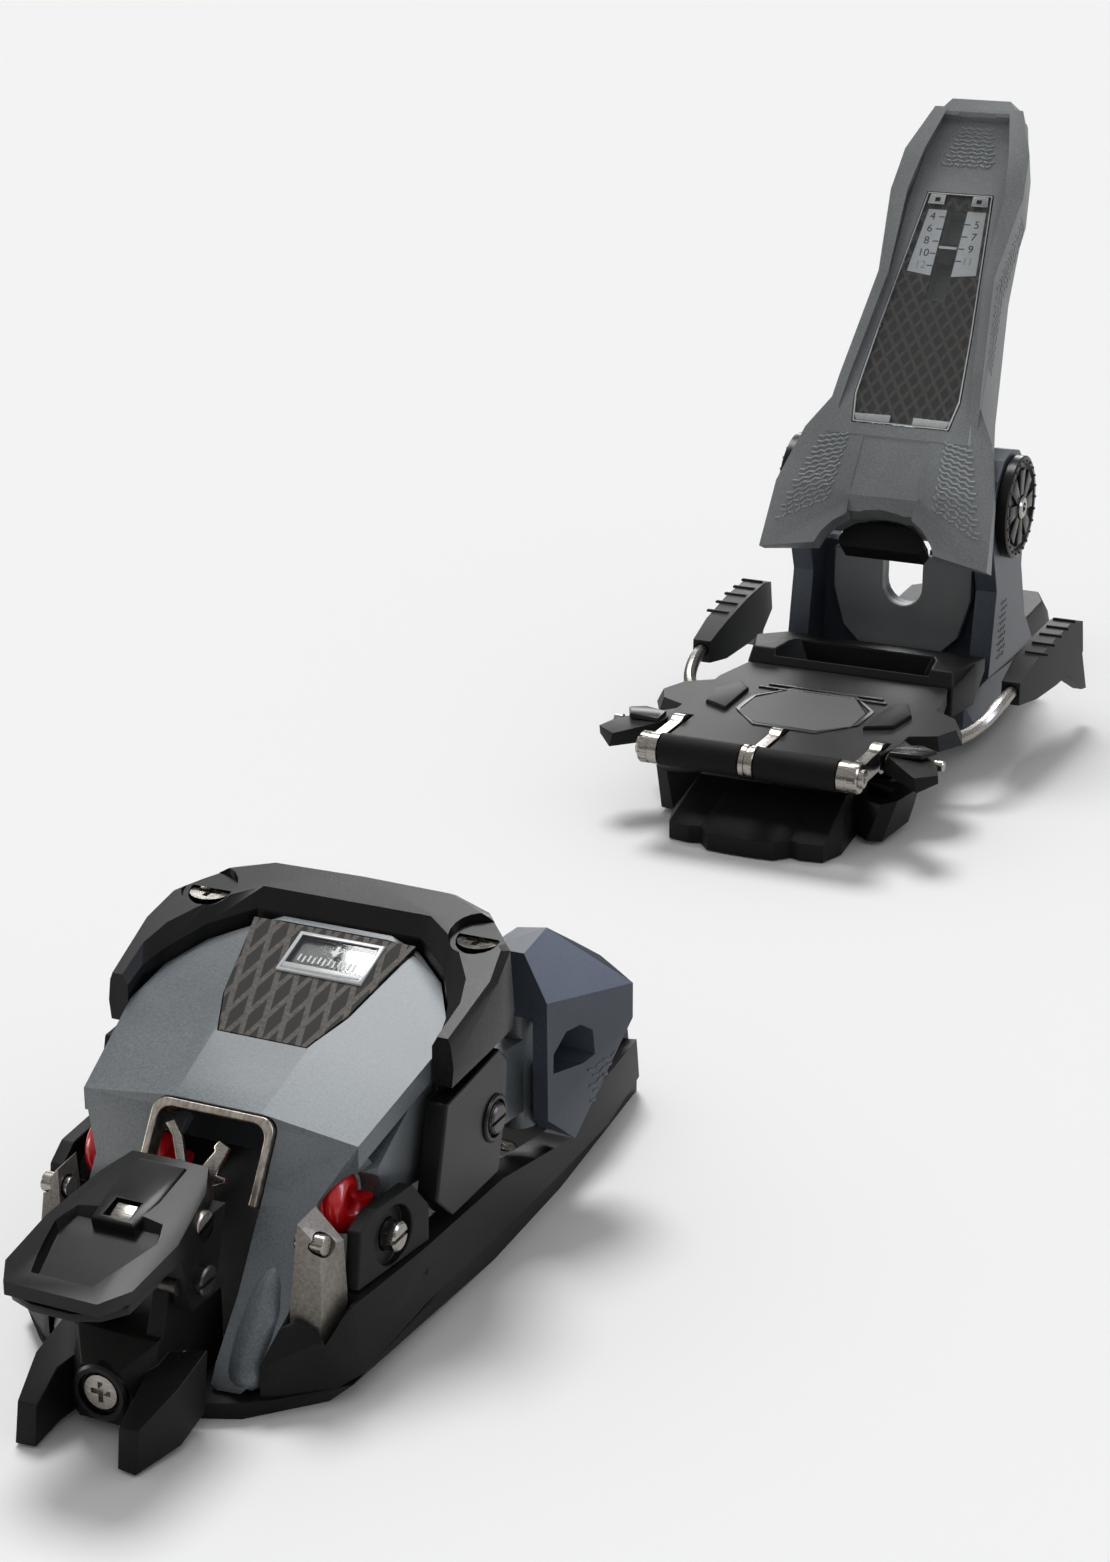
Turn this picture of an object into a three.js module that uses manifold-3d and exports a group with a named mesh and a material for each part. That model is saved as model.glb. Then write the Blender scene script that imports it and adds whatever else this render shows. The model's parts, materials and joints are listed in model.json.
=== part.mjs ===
// Touring binding: a toe unit and a heel unit on the centre line of one ski.
// Millimetres. +Z points up from the ski top at z = 0, -Y points to the ski tip.
// The origin is on the ski top under the two screws of the toe arch.
import * as THREE from 'three';
import { ConvexGeometry } from 'three/addons/geometries/ConvexGeometry.js';
import { mergeVertices } from 'three/addons/utils/BufferGeometryUtils.js';
import Module from 'manifold-3d';

// ---------- driving dimensions ----------
const GAP = 0.3;                 // clearance between pieces that touch
const RUN = 0.6;                 // clearance round a piece that turns or slides

const SOLE_LENGTH = 288;         // boot sole, from the toe stop to the heel stop
const TOE_STOP_Y = 34;           // where the wings meet the tip of the boot
const HEEL_STOP_Y = TOE_STOP_Y + SOLE_LENGTH;

const TOE_HALF_WIDTH = 40;       // widest point of the toe arch
const TOE_TOP_Z = 64.8;          // top face of the toe housing above the origin
const TOE_SLOPE = Math.tan(THREE.MathUtils.degToRad(20.5));
const SHELL_WALL = 7;            // thickness of the toe housing's top
const ARCH_RISE = 2.6;           // how far the arch stands above the housing
const ARCH_SCREW_X = 30;
const ARCH_SCREW_RADIUS = 4.2;
const OPENING_HALF_WIDTH = 11.5; // front opening over the lever
const OPENING_LENGTH = 17;
const OPENING_CORNER = 3;
const TRIM_WALL = 1.5;
const FRONT_ANGLE = THREE.MathUtils.degToRad(58);
const FRONT_EDGE_Y = -49;

const LEVER_AXLE = { y: -77, z: 27, radius: 2.6, halfWidth: 13 };
const FRONT_SCREW = { z: 9.2, radius: 3.4 };
const TECH_PIN = { y: -62.5, z: 30.5, radius: 2, tip: 24.1, end: 30 };
const COIL = { y: -48, z: 31.5, radius: 3.9, wire: 3.2, turns: 5, pitch: 3.5, start: 10.5 };
const LATCH_PIN = { y: -9, z: 33.5, radius: 3.2 };
const SIDE_BOLT = { y: -46, z: 25.6, radius: 2.8 };
const WING_PIVOT = { x: 29, y: 20, radius: 4, low: 18, high: 44 };
const WING_OPENING = THREE.MathUtils.degToRad(20);
const GLIDE = { halfWidth: 29, length: 28, y: 60, z: 17.3, thickness: 2.6, travel: 3 };

const PIVOT = { y: 27, z: 68, radius: 4 }; // tower pivot, measured from the heel stop
const TOWER_LEAN = THREE.MathUtils.degToRad(50.7);
const TOWER_LENGTH = 120.5;               // from the pivot to the tip of the tower lever
const DISC_RADIUS = 15;
const TOWER_FACE = DISC_RADIUS + 6;      // front face in front of the pivot
const DISC_WALL = 2.4;
const CHEEK_INSIDE = 25.2;               // inner faces of the stand's side arms
const CHEEK_WALL = 6.3;
const SKIRT_HALF_WIDTH = 34.5;
const LABEL_WALL = 1.2;
const LENS_WALL = 1.6;
const ROLLER = { y: -97.4, z: 24.7, radius: 4.4, length: 23 };
const BAIL_PIVOT = { y: -77, z: 23.5 };
const BAIL_LINK = 3.2;
const BAIL_PIN_RADIUS = 2.2;
const BAIL_AXLE_RADIUS = 2;
const PEDAL = { top: 26.2, thickness: 5, front: -91, rear: -21 };
const STAND_REAR = 62;                   // rear end of the stand's foot
const RAIL = { halfWidth: 20, thickness: 3, front: -62, rear: 104 };
const CARRIAGE_TRAVEL = 8;
const BRAKE_WIRE_RADIUS = 1.9;
const LENGTH_SCREW_RADIUS = 3;

// ---------- materials ----------
const paint = (colour, roughness, metalness) =>
  new THREE.MeshStandardMaterial({ color: colour, roughness, metalness });
const LOOKS = {
  shell: () => paint(0x70767a, 0.5, 0.25),
  blue: () => paint(0x4c545c, 0.5, 0.2),
  light: () => paint(0x787c7d, 0.5, 0.25),
  black: () => paint(0x232221, 0.55, 0),
  satin: () => paint(0x2b2928, 0.35, 0),
  rubber: () => paint(0x1c1b1a, 0.8, 0),
  steel: () => paint(0xb5b0a8, 0.25, 1),
  bare: () => paint(0xa9a199, 0.35, 1),
  red: () => paint(0xc20a12, 0.4, 0),
  label: () => paint(0x2a2624, 0.5, 0),
  clear: () => paint(0xd8dcdc, 0.05, 0),
  white: () => paint(0xe6e6e4, 0.4, 0),
  pad: () => paint(0x4c4c4d, 0.6, 0),
};

// ---------- solids ----------
const wasm = await Module();
wasm.setup();

function solid(geometry) {
  const bare = geometry.clone();
  bare.deleteAttribute('normal');
  bare.deleteAttribute('uv');
  const merged = mergeVertices(bare, 1e-4);
  const vertProperties = new Float32Array(merged.attributes.position.array);
  const triVerts = new Uint32Array(merged.index.array);
  return new wasm.Manifold(new wasm.Mesh({ numProp: 3, vertProperties, triVerts }));
}

const join = (...solids) => solids.reduce((whole, next) => whole.add(next));
const cut = (whole, ...tools) => tools.reduce((rest, tool) => rest.subtract(tool), whole);

// Smallest convex body round the points.
function hull(points) {
  return solid(new ConvexGeometry(points.map((p) => new THREE.Vector3(...p))));
}

// Convex bodies between neighbouring rows of points, joined.
function chain(rows) {
  const links = rows.slice(1).map((row, i) => hull([...rows[i], ...row]));
  return join(...links);
}

const mirrored = (points) => points.map(([x, y, z]) => [-x, y, z]);
const both = (points) => [...points, ...mirrored(points)];
const onSide = (side, points) => points.map(([x, y, z]) => [side * x, y, z]);

function box(x0, x1, y0, y1, z0, z1) {
  const geometry = new THREE.BoxGeometry(x1 - x0, y1 - y0, z1 - z0);
  geometry.translate((x0 + x1) / 2, (y0 + y1) / 2, (z0 + z1) / 2);
  return solid(geometry);
}

function rod(from, to, radius, sides = 24, endRadius = radius) {
  const a = new THREE.Vector3(...from);
  const b = new THREE.Vector3(...to);
  const geometry = new THREE.CylinderGeometry(endRadius, radius, a.distanceTo(b), sides);
  const up = new THREE.Vector3(0, 1, 0);
  const way = b.clone().sub(a).normalize();
  geometry.applyQuaternion(new THREE.Quaternion().setFromUnitVectors(up, way));
  geometry.translate(...a.add(b).multiplyScalar(0.5).toArray());
  return solid(geometry);
}

// Rod along X, centred on the given point.
const crossRod = (x, y, z, radius, length, sides = 24) =>
  rod([x - length / 2, y, z], [x + length / 2, y, z], radius, sides);

const raised = (shape, depth) =>
  new THREE.ExtrudeGeometry(shape, { depth, bevelEnabled: false, curveSegments: 6 });

// Outline drawn in the YZ plane and given a thickness along X.
function slabX(outline, x0, x1) {
  const shape = new THREE.Shape(outline.map(([y, z]) => new THREE.Vector2(y, z)));
  const geometry = raised(shape, x1 - x0);
  geometry.applyMatrix4(new THREE.Matrix4().set(0, 0, 1, x0, 1, 0, 0, 0, 0, 1, 0, 0, 0, 0, 0, 1));
  return solid(geometry);
}
const slabSide = (side, outline, x0, x1) =>
  side > 0 ? slabX(outline, x0, x1) : slabX(outline, -x1, -x0);

// Outline drawn in the XY plane and given a thickness along Z.
function slabZ(shape, z0, z1) {
  const geometry = raised(shape, z1 - z0);
  geometry.translate(0, 0, z0);
  return solid(geometry);
}

function roundedRect(x0, x1, y0, y1, r) {
  const shape = new THREE.Shape();
  shape.moveTo(x0 + r, y0);
  shape.lineTo(x1 - r, y0);
  shape.absarc(x1 - r, y0 + r, r, -Math.PI / 2, 0);
  shape.lineTo(x1, y1 - r);
  shape.absarc(x1 - r, y1 - r, r, 0, Math.PI / 2);
  shape.lineTo(x0 + r, y1);
  shape.absarc(x0 + r, y1 - r, r, Math.PI / 2, Math.PI);
  shape.lineTo(x0, y0 + r);
  shape.absarc(x0 + r, y0 + r, r, Math.PI, Math.PI * 1.5);
  return shape;
}
const polygon = (points) => new THREE.Shape(points.map(([x, y]) => new THREE.Vector2(x, y)));

// Round wire along a list of points.
function wire(points, radius, steps) {
  const places = points.map((p) => new THREE.Vector3(...p));
  const curve = new THREE.CatmullRomCurve3(places, false, 'centripetal');
  const section = new THREE.Shape();
  section.absarc(0, 0, radius, 0, Math.PI * 2);
  return solid(new THREE.ExtrudeGeometry(section, { steps, extrudePath: curve, curveSegments: 5 }));
}

// Helix round an axis along X.
class CoilCurve extends THREE.Curve {
  constructor(x0, pitch, turns, y, z, radius) {
    super();
    Object.assign(this, { x0, pitch, turns, y, z, radius });
  }
  getPoint(t, target = new THREE.Vector3()) {
    const angle = t * this.turns * Math.PI * 2;
    return target.set(
      this.x0 + this.pitch * this.turns * t,
      this.y + this.radius * Math.cos(angle),
      this.z + this.radius * Math.sin(angle),
    );
  }
}

// Countersunk screw head and shank along a direction, with a cross recess.
function crossScrew(at, direction, headRadius, headHeight, shankRadius, shankLength) {
  const way = new THREE.Vector3(...direction).normalize();
  const place = (distance) => new THREE.Vector3(...at).addScaledVector(way, distance).toArray();
  const head = rod(place(-headHeight), place(0), shankRadius, 24, headRadius);
  const shank = rod(place(-headHeight - shankLength), place(-headHeight + 0.2), shankRadius, 16);
  const slot = new THREE.BoxGeometry(headRadius * 1.2, headRadius * 0.3, headHeight * 0.8);
  const slots = [0, Math.PI / 2].map((turn) => {
    const one = slot.clone().rotateZ(turn);
    one.applyQuaternion(new THREE.Quaternion().setFromUnitVectors(new THREE.Vector3(0, 0, 1), way));
    one.translate(...place(-headHeight * 0.1));
    return solid(one);
  });
  return cut(join(head, shank), ...slots);
}

const binding = new THREE.Group();
const heel = new THREE.Group();
heel.position.y = HEEL_STOP_Y;
binding.add(heel);

function add(group, name, whole, material) {
  const { numProp, vertProperties, triVerts } = whole.getMesh();
  const positions = new Float32Array((vertProperties.length / numProp) * 3);
  for (let i = 0; i < positions.length / 3; i += 1) {
    for (let k = 0; k < 3; k += 1) positions[i * 3 + k] = vertProperties[i * numProp + k];
  }
  const geometry = new THREE.BufferGeometry();
  geometry.setAttribute('position', new THREE.BufferAttribute(positions, 3));
  geometry.setIndex(new THREE.BufferAttribute(new Uint32Array(triVerts), 1));
  geometry.computeVertexNormals();
  const mesh = new THREE.Mesh(geometry, material);
  mesh.name = name;
  group.add(mesh);
}

const SIDES = [['left', 1], ['right', -1]];

// ---------- toe: housing shapes ----------
const toeTop = (y) => TOE_TOP_Z + TOE_SLOPE * y;

// Half plan outline of the housing's top, from the rear to the front.
const SHELL_HALF = TOE_HALF_WIDTH - 7;
const shellOutline = [
  [SHELL_HALF - 15, -1.5],
  [SHELL_HALF - 7, -8],
  [SHELL_HALF - 2, -16],
  [SHELL_HALF, -26],
  [SHELL_HALF - 3.5, FRONT_EDGE_Y],
];

// Coordinates in the sloping front face: u across, v up the face, w out of it.
const frontMatrix = new THREE.Matrix4().makeBasis(
  new THREE.Vector3(1, 0, 0),
  new THREE.Vector3(0, Math.cos(FRONT_ANGLE), Math.sin(FRONT_ANGLE)),
  new THREE.Vector3(0, -Math.sin(FRONT_ANGLE), Math.cos(FRONT_ANGLE)),
).setPosition(0, FRONT_EDGE_Y, toeTop(FRONT_EDGE_Y));

function frontSlab(shape, w0, w1) {
  const geometry = raised(shape, w1 - w0);
  geometry.translate(0, 0, w0);
  geometry.applyMatrix4(frontMatrix);
  return solid(geometry);
}

// Slab lying in the housing's sloping top, raised by z0..z1 above it.
function topSlab(shape, z0, z1) {
  const geometry = raised(shape, z1 - z0);
  geometry.translate(0, 0, z0);
  const slope = new THREE.Matrix4().set(1, 0, 0, 0, 0, 1, 0, 0, 0, TOE_SLOPE, 1, TOE_TOP_Z, 0, 0, 0, 1);
  geometry.applyMatrix4(slope);
  return solid(geometry);
}

const openingShape = (grow) => roundedRect(
  -OPENING_HALF_WIDTH - grow, OPENING_HALF_WIDTH + grow,
  -OPENING_LENGTH * 3, -2 + grow, OPENING_CORNER,
);

const LABEL = { rear: -3, front: -32, halfRear: 18, halfFront: 9.5, corner: 2 };
const labelShape = (shrink) => polygon([
  [-LABEL.halfRear + shrink, LABEL.rear - shrink],
  [-LABEL.halfFront - 4 + shrink, LABEL.front + 9],
  [-LABEL.halfFront + shrink, LABEL.front + shrink],
  [LABEL.halfFront - shrink, LABEL.front + shrink],
  [LABEL.halfFront + 4 - shrink, LABEL.front + 9],
  [LABEL.halfRear - shrink, LABEL.rear - shrink],
]);
const WINDOW = { x: 3, halfWidth: 9, rear: -5, front: -15, corner: 1.5 };
const windowShape = (shrink) => roundedRect(
  WINDOW.x - WINDOW.halfWidth + shrink, WINDOW.x + WINDOW.halfWidth - shrink,
  WINDOW.front + shrink, WINDOW.rear - shrink, WINDOW.corner,
);

function toeShell() {
  const crown = [[0, -1.5], [12, -1.5], [9.5, FRONT_EDGE_Y]].map(([x, y]) => [x, y, toeTop(y)]);
  const edge = shellOutline.map(([x, y]) => [x, y, toeTop(y) - 2.5]);
  const under = shellOutline.map(([x, y]) => [x, y, toeTop(y) - SHELL_WALL]);
  return hull(both([...crown, ...edge, ...under]));
}

function toeLeg(side) {
  const edgeZ = toeTop(FRONT_EDGE_Y);
  const inside = OPENING_HALF_WIDTH;
  const rows = [
    [[9, FRONT_EDGE_Y, edgeZ], [SHELL_HALF - 3.5, FRONT_EDGE_Y, edgeZ - 2.5],
      [9, FRONT_EDGE_Y + 6, edgeZ - 7], [SHELL_HALF - 3.5, FRONT_EDGE_Y + 6, edgeZ - 9]],
    [[inside, -56, 34.5], [23.8, -54.5, 34], [inside, -51, 30], [23.8, -50, 31]],
    [[inside + 0.8, -66.5, 18.5], [23.6, -66, 17], [inside + 1.2, -61.5, 15], [23.4, -61.5, 14]],
    [[inside + 0.4, -75, 9], [21.5, -74.5, 9], [inside + 1.5, -69, 8], [21.5, -69, 8]],
    [[inside + 0.6, -76.4, 6.4], [20.6, -75.8, 6.4], [inside + 1.4, -71, 5.6], [20.6, -70.6, 5.6]],
    [[inside + 2.6, -76.4, 4.4], [18.8, -75.9, 4.4], [inside + 2.8, -72.4, 4.4], [18.8, -72, 4.4]],
  ];
  return chain(rows.map((row) => onSide(side, row)));
}

function toeWeb(side) {
  const top = toeTop(-30) - SHELL_WALL + 1;
  return hull(onSide(side, [
    [26, -48, 36], [31, -26, top], [31, -44, 38], [26, -22, 27], [31, -22, 27],
    [31, -22, top], [26, -22, top], [26, -46, 30], [29, -44, 28],
  ]));
}

function toeCore() {
  return join(
    hull(both([[24, -24, 24], [31, -20, 24], [30, 7, 24], [30, 7, 42], [31, -20, 44], [24, -24, 44]])),
    hull(both([[18, -22, 40], [18, -3, 40], [18, -22, toeTop(-22) - 5], [18, -3, toeTop(-3) - 5]])),
  );
}

// Knuckle behind the core that a wing turns on.
function wingKnuckle(side) {
  const { x, y, radius, low, high } = WING_PIVOT;
  const arm = hull(onSide(side, [low + 4, high - 6].flatMap((z) => [
    [x - radius, 5, z], [x + 1, 5, z], [x - radius, y, z], [x + radius - 1, y, z],
  ])));
  return join(rod([side * x, y, low], [side * x, y, high], radius, 20), arm);
}

// Room that the knuckle needs in a wing, closed and open.
function knuckleRoom(side) {
  const { x, y, radius, low, high } = WING_PIVOT;
  const reach = radius + RUN;
  const swing = 20 * Math.tan(WING_OPENING);
  const armRoom = hull(onSide(side, [low, high].flatMap((z) => [
    [x - reach - 1, y - 20, z], [x + 2 + swing, y - 20, z], [x - reach - 1, y, z], [x + reach, y, z],
  ])));
  return join(rod([side * x, y, low - 20], [side * x, y, high + RUN], reach, 20), armRoom);
}

function toeHousing() {
  const legs = SIDES.map(([, side]) => join(toeLeg(side), toeWeb(side), wingKnuckle(side)));
  const body = join(toeShell(), ...legs, toeCore());
  const labelPocket = topSlab(labelShape(-GAP), -LABEL_WALL - GAP, 10);
  const windowPocket = topSlab(windowShape(-GAP), -LABEL_WALL - 4, 10);
  const trimPocket = frontSlab(openingShape(TRIM_WALL + GAP), -7, 8);
  const reach = COIL.radius + COIL.wire / 2 + RUN;
  const coilRoom = join(
    crossRod(0, COIL.y, COIL.z, reach, 80),
    box(-40, 40, COIL.y - reach, COIL.y + reach, 0, COIL.z),
  );
  return cut(body, labelPocket, windowPocket, trimPocket, coilRoom);
}

function openingTrim() {
  const ring = frontSlab(openingShape(TRIM_WALL), -3.2, 0.9);
  const hole = frontSlab(openingShape(0), -5, 3);
  const below = frontSlab(roundedRect(-40, 40, -90, -OPENING_LENGTH, 1), -9, 9);
  return cut(ring, hole, below);
}

// ---------- toe: arch ----------
const archBand = [
  // inner plan point, outer plan point, lower edge
  { inner: [0, -1.2], outer: [0, 11.5], low: 45 },
  { inner: [SHELL_HALF - 14.8, -1.2], outer: [SHELL_HALF - 13, 11], low: 45 },
  { inner: [SHELL_HALF - 6.6, -7.8], outer: [SHELL_HALF - 4, 8], low: 46 },
  { inner: [SHELL_HALF - 1.6, -15.9], outer: [SHELL_HALF + 4.6, -0.5], low: 49 },
  { inner: [SHELL_HALF + GAP, -21], outer: [SHELL_HALF + 6, -9], low: 50 },
  { inner: [SHELL_HALF + GAP, -26.5], outer: [SHELL_HALF + 4.4, -26.5], low: 47.5 },
];

function archSection({ inner, outer, low }, side) {
  const along = new THREE.Vector2(outer[0] - inner[0], outer[1] - inner[1]);
  const at = (share) => [inner[0] + along.x * share, inner[1] + along.y * share];
  const point = ([x, y], rise) => [side * x, y, toeTop(y) + rise];
  const [bx, by] = at(1);
  return [
    point(at(0), 0.5),
    point(at(0.28), ARCH_RISE),
    point(at(0.82), ARCH_RISE),
    point(at(0.97), 1),
    [side * (bx + 0.4), by, low + 4],
    [side * bx, by, low],
    [side * inner[0], inner[1], low],
  ];
}

function toeArch() {
  const halves = SIDES.map(([, side]) =>
    chain(archBand.map((section) => archSection(section, side))));
  const screwHoles = SIDES.map(([, side]) => {
    const x = side * ARCH_SCREW_X;
    const z = toeTop(0.3) + 1.2;
    return join(
      rod([x, 0.3, z], [x, -4, z + 14], ARCH_SCREW_RADIUS + 1.4, 20, ARCH_SCREW_RADIUS + 4.8),
      rod([x, 0.3, z - 5], [x, 0.3, z + 0.2], ARCH_SCREW_RADIUS + GAP, 20),
    );
  });
  const shellRoom = hull(both([
    ...shellOutline.map(([x, y]) => [x + GAP, y + GAP, toeTop(y) + 0.4]),
    ...shellOutline.map(([x, y]) => [x + GAP, y + GAP, 40]),
  ]));
  const coreRoom = box(-31.4, 31.4, -22, 7.4, 20, 44.4);
  const upperCoreRoom = box(-18.4, 18.4, -23, -2.6, 38, 62);
  const grooves = [-13.5, -4.5, 4.5, 13.5].map((x) => hull([
    [x - 1, 14, toeTop(14) + 2.8], [x + 1, 14, toeTop(14) + 2.8],
    [x - 1.6, 14, toeTop(14) + 6], [x + 1.6, 14, toeTop(14) + 6],
    [x + 2.6, 3, toeTop(3) + 4.1], [x + 3.4, 3, toeTop(3) + 4.1], [x + 3, 3, toeTop(3) + 6],
  ]));
  const latchRooms = SIDES.map(([, side]) => latchRoom(side));
  return cut(join(...halves), ...screwHoles, shellRoom, coreRoom, upperCoreRoom, ...grooves, ...latchRooms);
}

function addToeModule() {
  add(binding, 'toe_housing', toeHousing(), LOOKS.shell());
  add(binding, 'toe_arch', toeArch(), LOOKS.satin());
  add(binding, 'toe_opening_trim', openingTrim(), LOOKS.bare());
  const windowHole = topSlab(windowShape(-GAP), -9, 9);
  add(binding, 'toe_label', cut(topSlab(labelShape(0), -LABEL_WALL, 0), windowHole), LOOKS.label());
  add(binding, 'toe_window', topSlab(windowShape(0), -LABEL_WALL, 0.2), LOOKS.clear());
  const indicator = roundedRect(1.6, 4.4, -12, -8, 0.6);
  add(binding, 'toe_indicator', topSlab(indicator, -LABEL_WALL - 2.6, -LABEL_WALL - GAP), LOOKS.white());
  SIDES.forEach(([name, side]) => {
    const z = toeTop(0.3) + 0.9;
    add(binding, `arch_screw_${name}`,
      crossScrew([side * ARCH_SCREW_X, 0.3, z], [0, 0, 1], ARCH_SCREW_RADIUS, 2.4, 2, 2), LOOKS.steel());
  });
}

// ---------- toe: wings ----------
function wing(side) {
  const outer = [
    [33, 14.5, 58], [34.5, 22, 61], [42, 31.4, 52.7], [48, 34.5, 46.4], [48, 34.6, 38.7],
    [46, 31.7, 32.9], [40, 24, 14.5], [38, 15, 22], [38, 14.5, 48],
  ];
  const inner = [
    [25, 14.5, 58], [27, 24, 59], [34, 37, 52], [40, 42, 46], [40, 42, 38],
    [36, 36, 24], [32, 26, 14.5], [25, 14.5, 22],
  ];
  const body = hull(onSide(side, [...outer, ...inner]));
  const mouth = hull(onSide(side, [
    [12, 24, 10], [30, 28, 10], [35, 42, 10], [30, 50, 10], [12, 50, 10],
    [12, 24, 46], [30, 28, 46], [35, 42, 46], [30, 50, 46], [12, 50, 46],
  ]));
  const gap = hull(onSide(side, [
    [20, 18, 41], [20, 18, 33], [20, 24, 36], [60, 26, 41], [60, 14, 31], [60, 27, 31.5], [60, 20, 40],
  ]));
  return cut(body, mouth, gap, knuckleRoom(side));
}

function addWings() {
  SIDES.forEach(([name, side]) => add(binding, `wing_${name}`, wing(side), LOOKS.blue()));
}

// ---------- toe: base ----------
function toeBase() {
  const floor = hull(both([
    [10, -81, 0], [19.6, -77, 0], [23.6, -72.4, 0], [31, -65, 0], [32.3, -29, 0], [35.5, -5, 0],
    [34.8, 28, 0], [31, 77, 0], [10, -82.5, 4], [20, -78, 4], [25.5, -74, 4], [35.5, -64, 4],
    [36, -29, 6], [36.5, -5, 6],
    [36, 28, 6], [31, 77, 6],
  ]));
  const shoulders = SIDES.map(([, side]) => chain([
    [[22.5, -75, 2], [22.5, -75, 10.5], [25, -73.5, 4], [25, -73, 10.5]],
    [[29, -69, 2], [24, -70, 16], [33.5, -66, 4], [31, -67, 13.5]],
    [[31, -60, 2], [30.5, -60, 19], [36.2, -61, 5], [34, -60, 18]],
    [[32, -40, 2], [32, -40, 19], [37.5, -38, 8], [36.8, -38, 19]],
    [[32, -8, 2], [32, -8, 19], [38.5, -6, 8], [38, -6, 19]],
    [[30, 30, 2], [30, 30, 11], [37, 30, 6], [36.5, 30, 11]],
    [[30, 50, 2], [30, 50, 13.5], [36, 50, 5], [35.5, 50, 16]],
    [[28, 76, 2], [28, 74, 13.5], [32, 76, 4], [33, 72, 15]],
  ].map((row) => onSide(side, row))));
  const hump = hull(both([[30, 44, 4], [30, 46, 16], [30, 74, 16], [30, 76, 4]]));
  const body = join(floor, ...shoulders, hump);
  const grooves = SIDES.map(([, side]) => hull(onSide(side, [
    [40, -62, 9], [40, -30, 17.5], [40, -34, 11], [36.2, -50, 11.5], [36.4, -38, 14], [40, -60, 7],
  ])));
  const screwHoles = SIDES.map(([, side]) => join(
    rod([side * 20, 28, -1], [side * 20, 28, 30], 2.4, 16),
    rod([side * 20, 28, 3.4], [side * 20, 28, 6.01], 2.4, 20, 4.6),
  ));
  const slideRoom = box(-GLIDE.halfWidth - GLIDE.travel - RUN, GLIDE.halfWidth + GLIDE.travel + RUN,
    GLIDE.y - GLIDE.length / 2 - GAP, GLIDE.y + GLIDE.length / 2 + GAP, GLIDE.z - GAP, 40);
  return cut(body, ...grooves, ...screwHoles, slideRoom, noseRoom(GAP), ...armRooms());
}

// ---------- toe: nose, lever, arms ----------
function noseRoom(grow) {
  return hull(both([
    [9 + grow, -100, -5], [9 + grow, -64 + grow, -5], [9 + grow, -64 + grow, 30], [9 + grow, -100, 30],
  ]));
}

function toeNose() {
  const block = hull(both([
    [8.5, -88, 1], [8.5, -64, 1], [5, -92, 3], [6.5, -91.5, 8], [6.5, -90, 13], [8.5, -86, 18],
    [8.5, -64, 18], [4, -92, 14],
  ]));
  const cheeks = SIDES.map(([, side]) => hull(onSide(side, [
    [5, -86, 14], [8.5, -86, 14], [5, -68, 14], [8.5, -68, 14],
    [5.5, -80, LEVER_AXLE.z + 4.6], [8.5, -80, LEVER_AXLE.z + 4.6],
    [5.5, -73, LEVER_AXLE.z + 4.6], [8.5, -73, LEVER_AXLE.z + 4.6],
  ])));
  const prongs = SIDES.map(([, side]) => chain([
    [[6, -84, 3], [15, -82, 3], [6, -84, 14], [15, -80, 15]],
    [[8.5, -93, 1.5], [15.5, -91, 1.5], [8.5, -93, 12.5], [15, -90, 12.5]],
    [[8.5, -101, 0.6], [12.5, -101.5, 0.6], [8.5, -100, 8.5], [12.5, -100, 8.5]],
  ].map((row) => onSide(side, row))));
  const axleHole = crossRod(0, LEVER_AXLE.y, LEVER_AXLE.z, LEVER_AXLE.radius + GAP, 60);
  const screwHole = rod([0, -100, FRONT_SCREW.z], [0, -70, FRONT_SCREW.z], FRONT_SCREW.radius + GAP, 24);
  return cut(join(block, ...cheeks, ...prongs), axleHole, screwHole);
}

function techLever() {
  const z = LEVER_AXLE.z;
  const paddle = hull(both([
    [9.5, -105.8, 33.6], [9.5, -105.8, 36.2], [12.5, -100, 33.6], [13, -100, 36.6],
    [14, -86, 35], [13.6, -86, 38.6], [11.5, -72, 36], [11, -72, 41.4], [9, -66, 38], [8, -66, 43.2],
    [12, -84, 34.4], [0, -67, 44],
  ]));
  const scoop = hull(both([
    [5.5, -102, 35.2], [9.8, -88, 37], [8.5, -84, 38.5], [7.5, -102.5, 40], [12.8, -88, 46], [10, -80, 46],
  ]));
  const underside = hull(both([[8, -98, 30], [10, -84, 30], [8, -96, 34.4], [9.5, -85, 35.6]]));
  const cheeks = SIDES.map(([, side]) => hull(onSide(side, [
    [9.2, -84, 34], [12.6, -84, 35], [9.2, -68, 34], [12.6, -68, 38], [9.2, -84, 37], [12, -82, 38.5],
    [9.2, -81, z - 4.5], [12.6, -81, z - 4.5], [9.2, -73, z - 4.5], [12.6, -73, z - 4.5],
    [12.6, -72, 38], [9.2, -68, 38],
  ])));
  const hole = crossRod(0, LEVER_AXLE.y, z, LEVER_AXLE.radius + GAP, 60);
  const latchRoom = box(-2.9, 2.9, -83.5, -78, 34, 50);
  return cut(join(paddle, ...cheeks), scoop, underside, hole, latchRoom);
}

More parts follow.
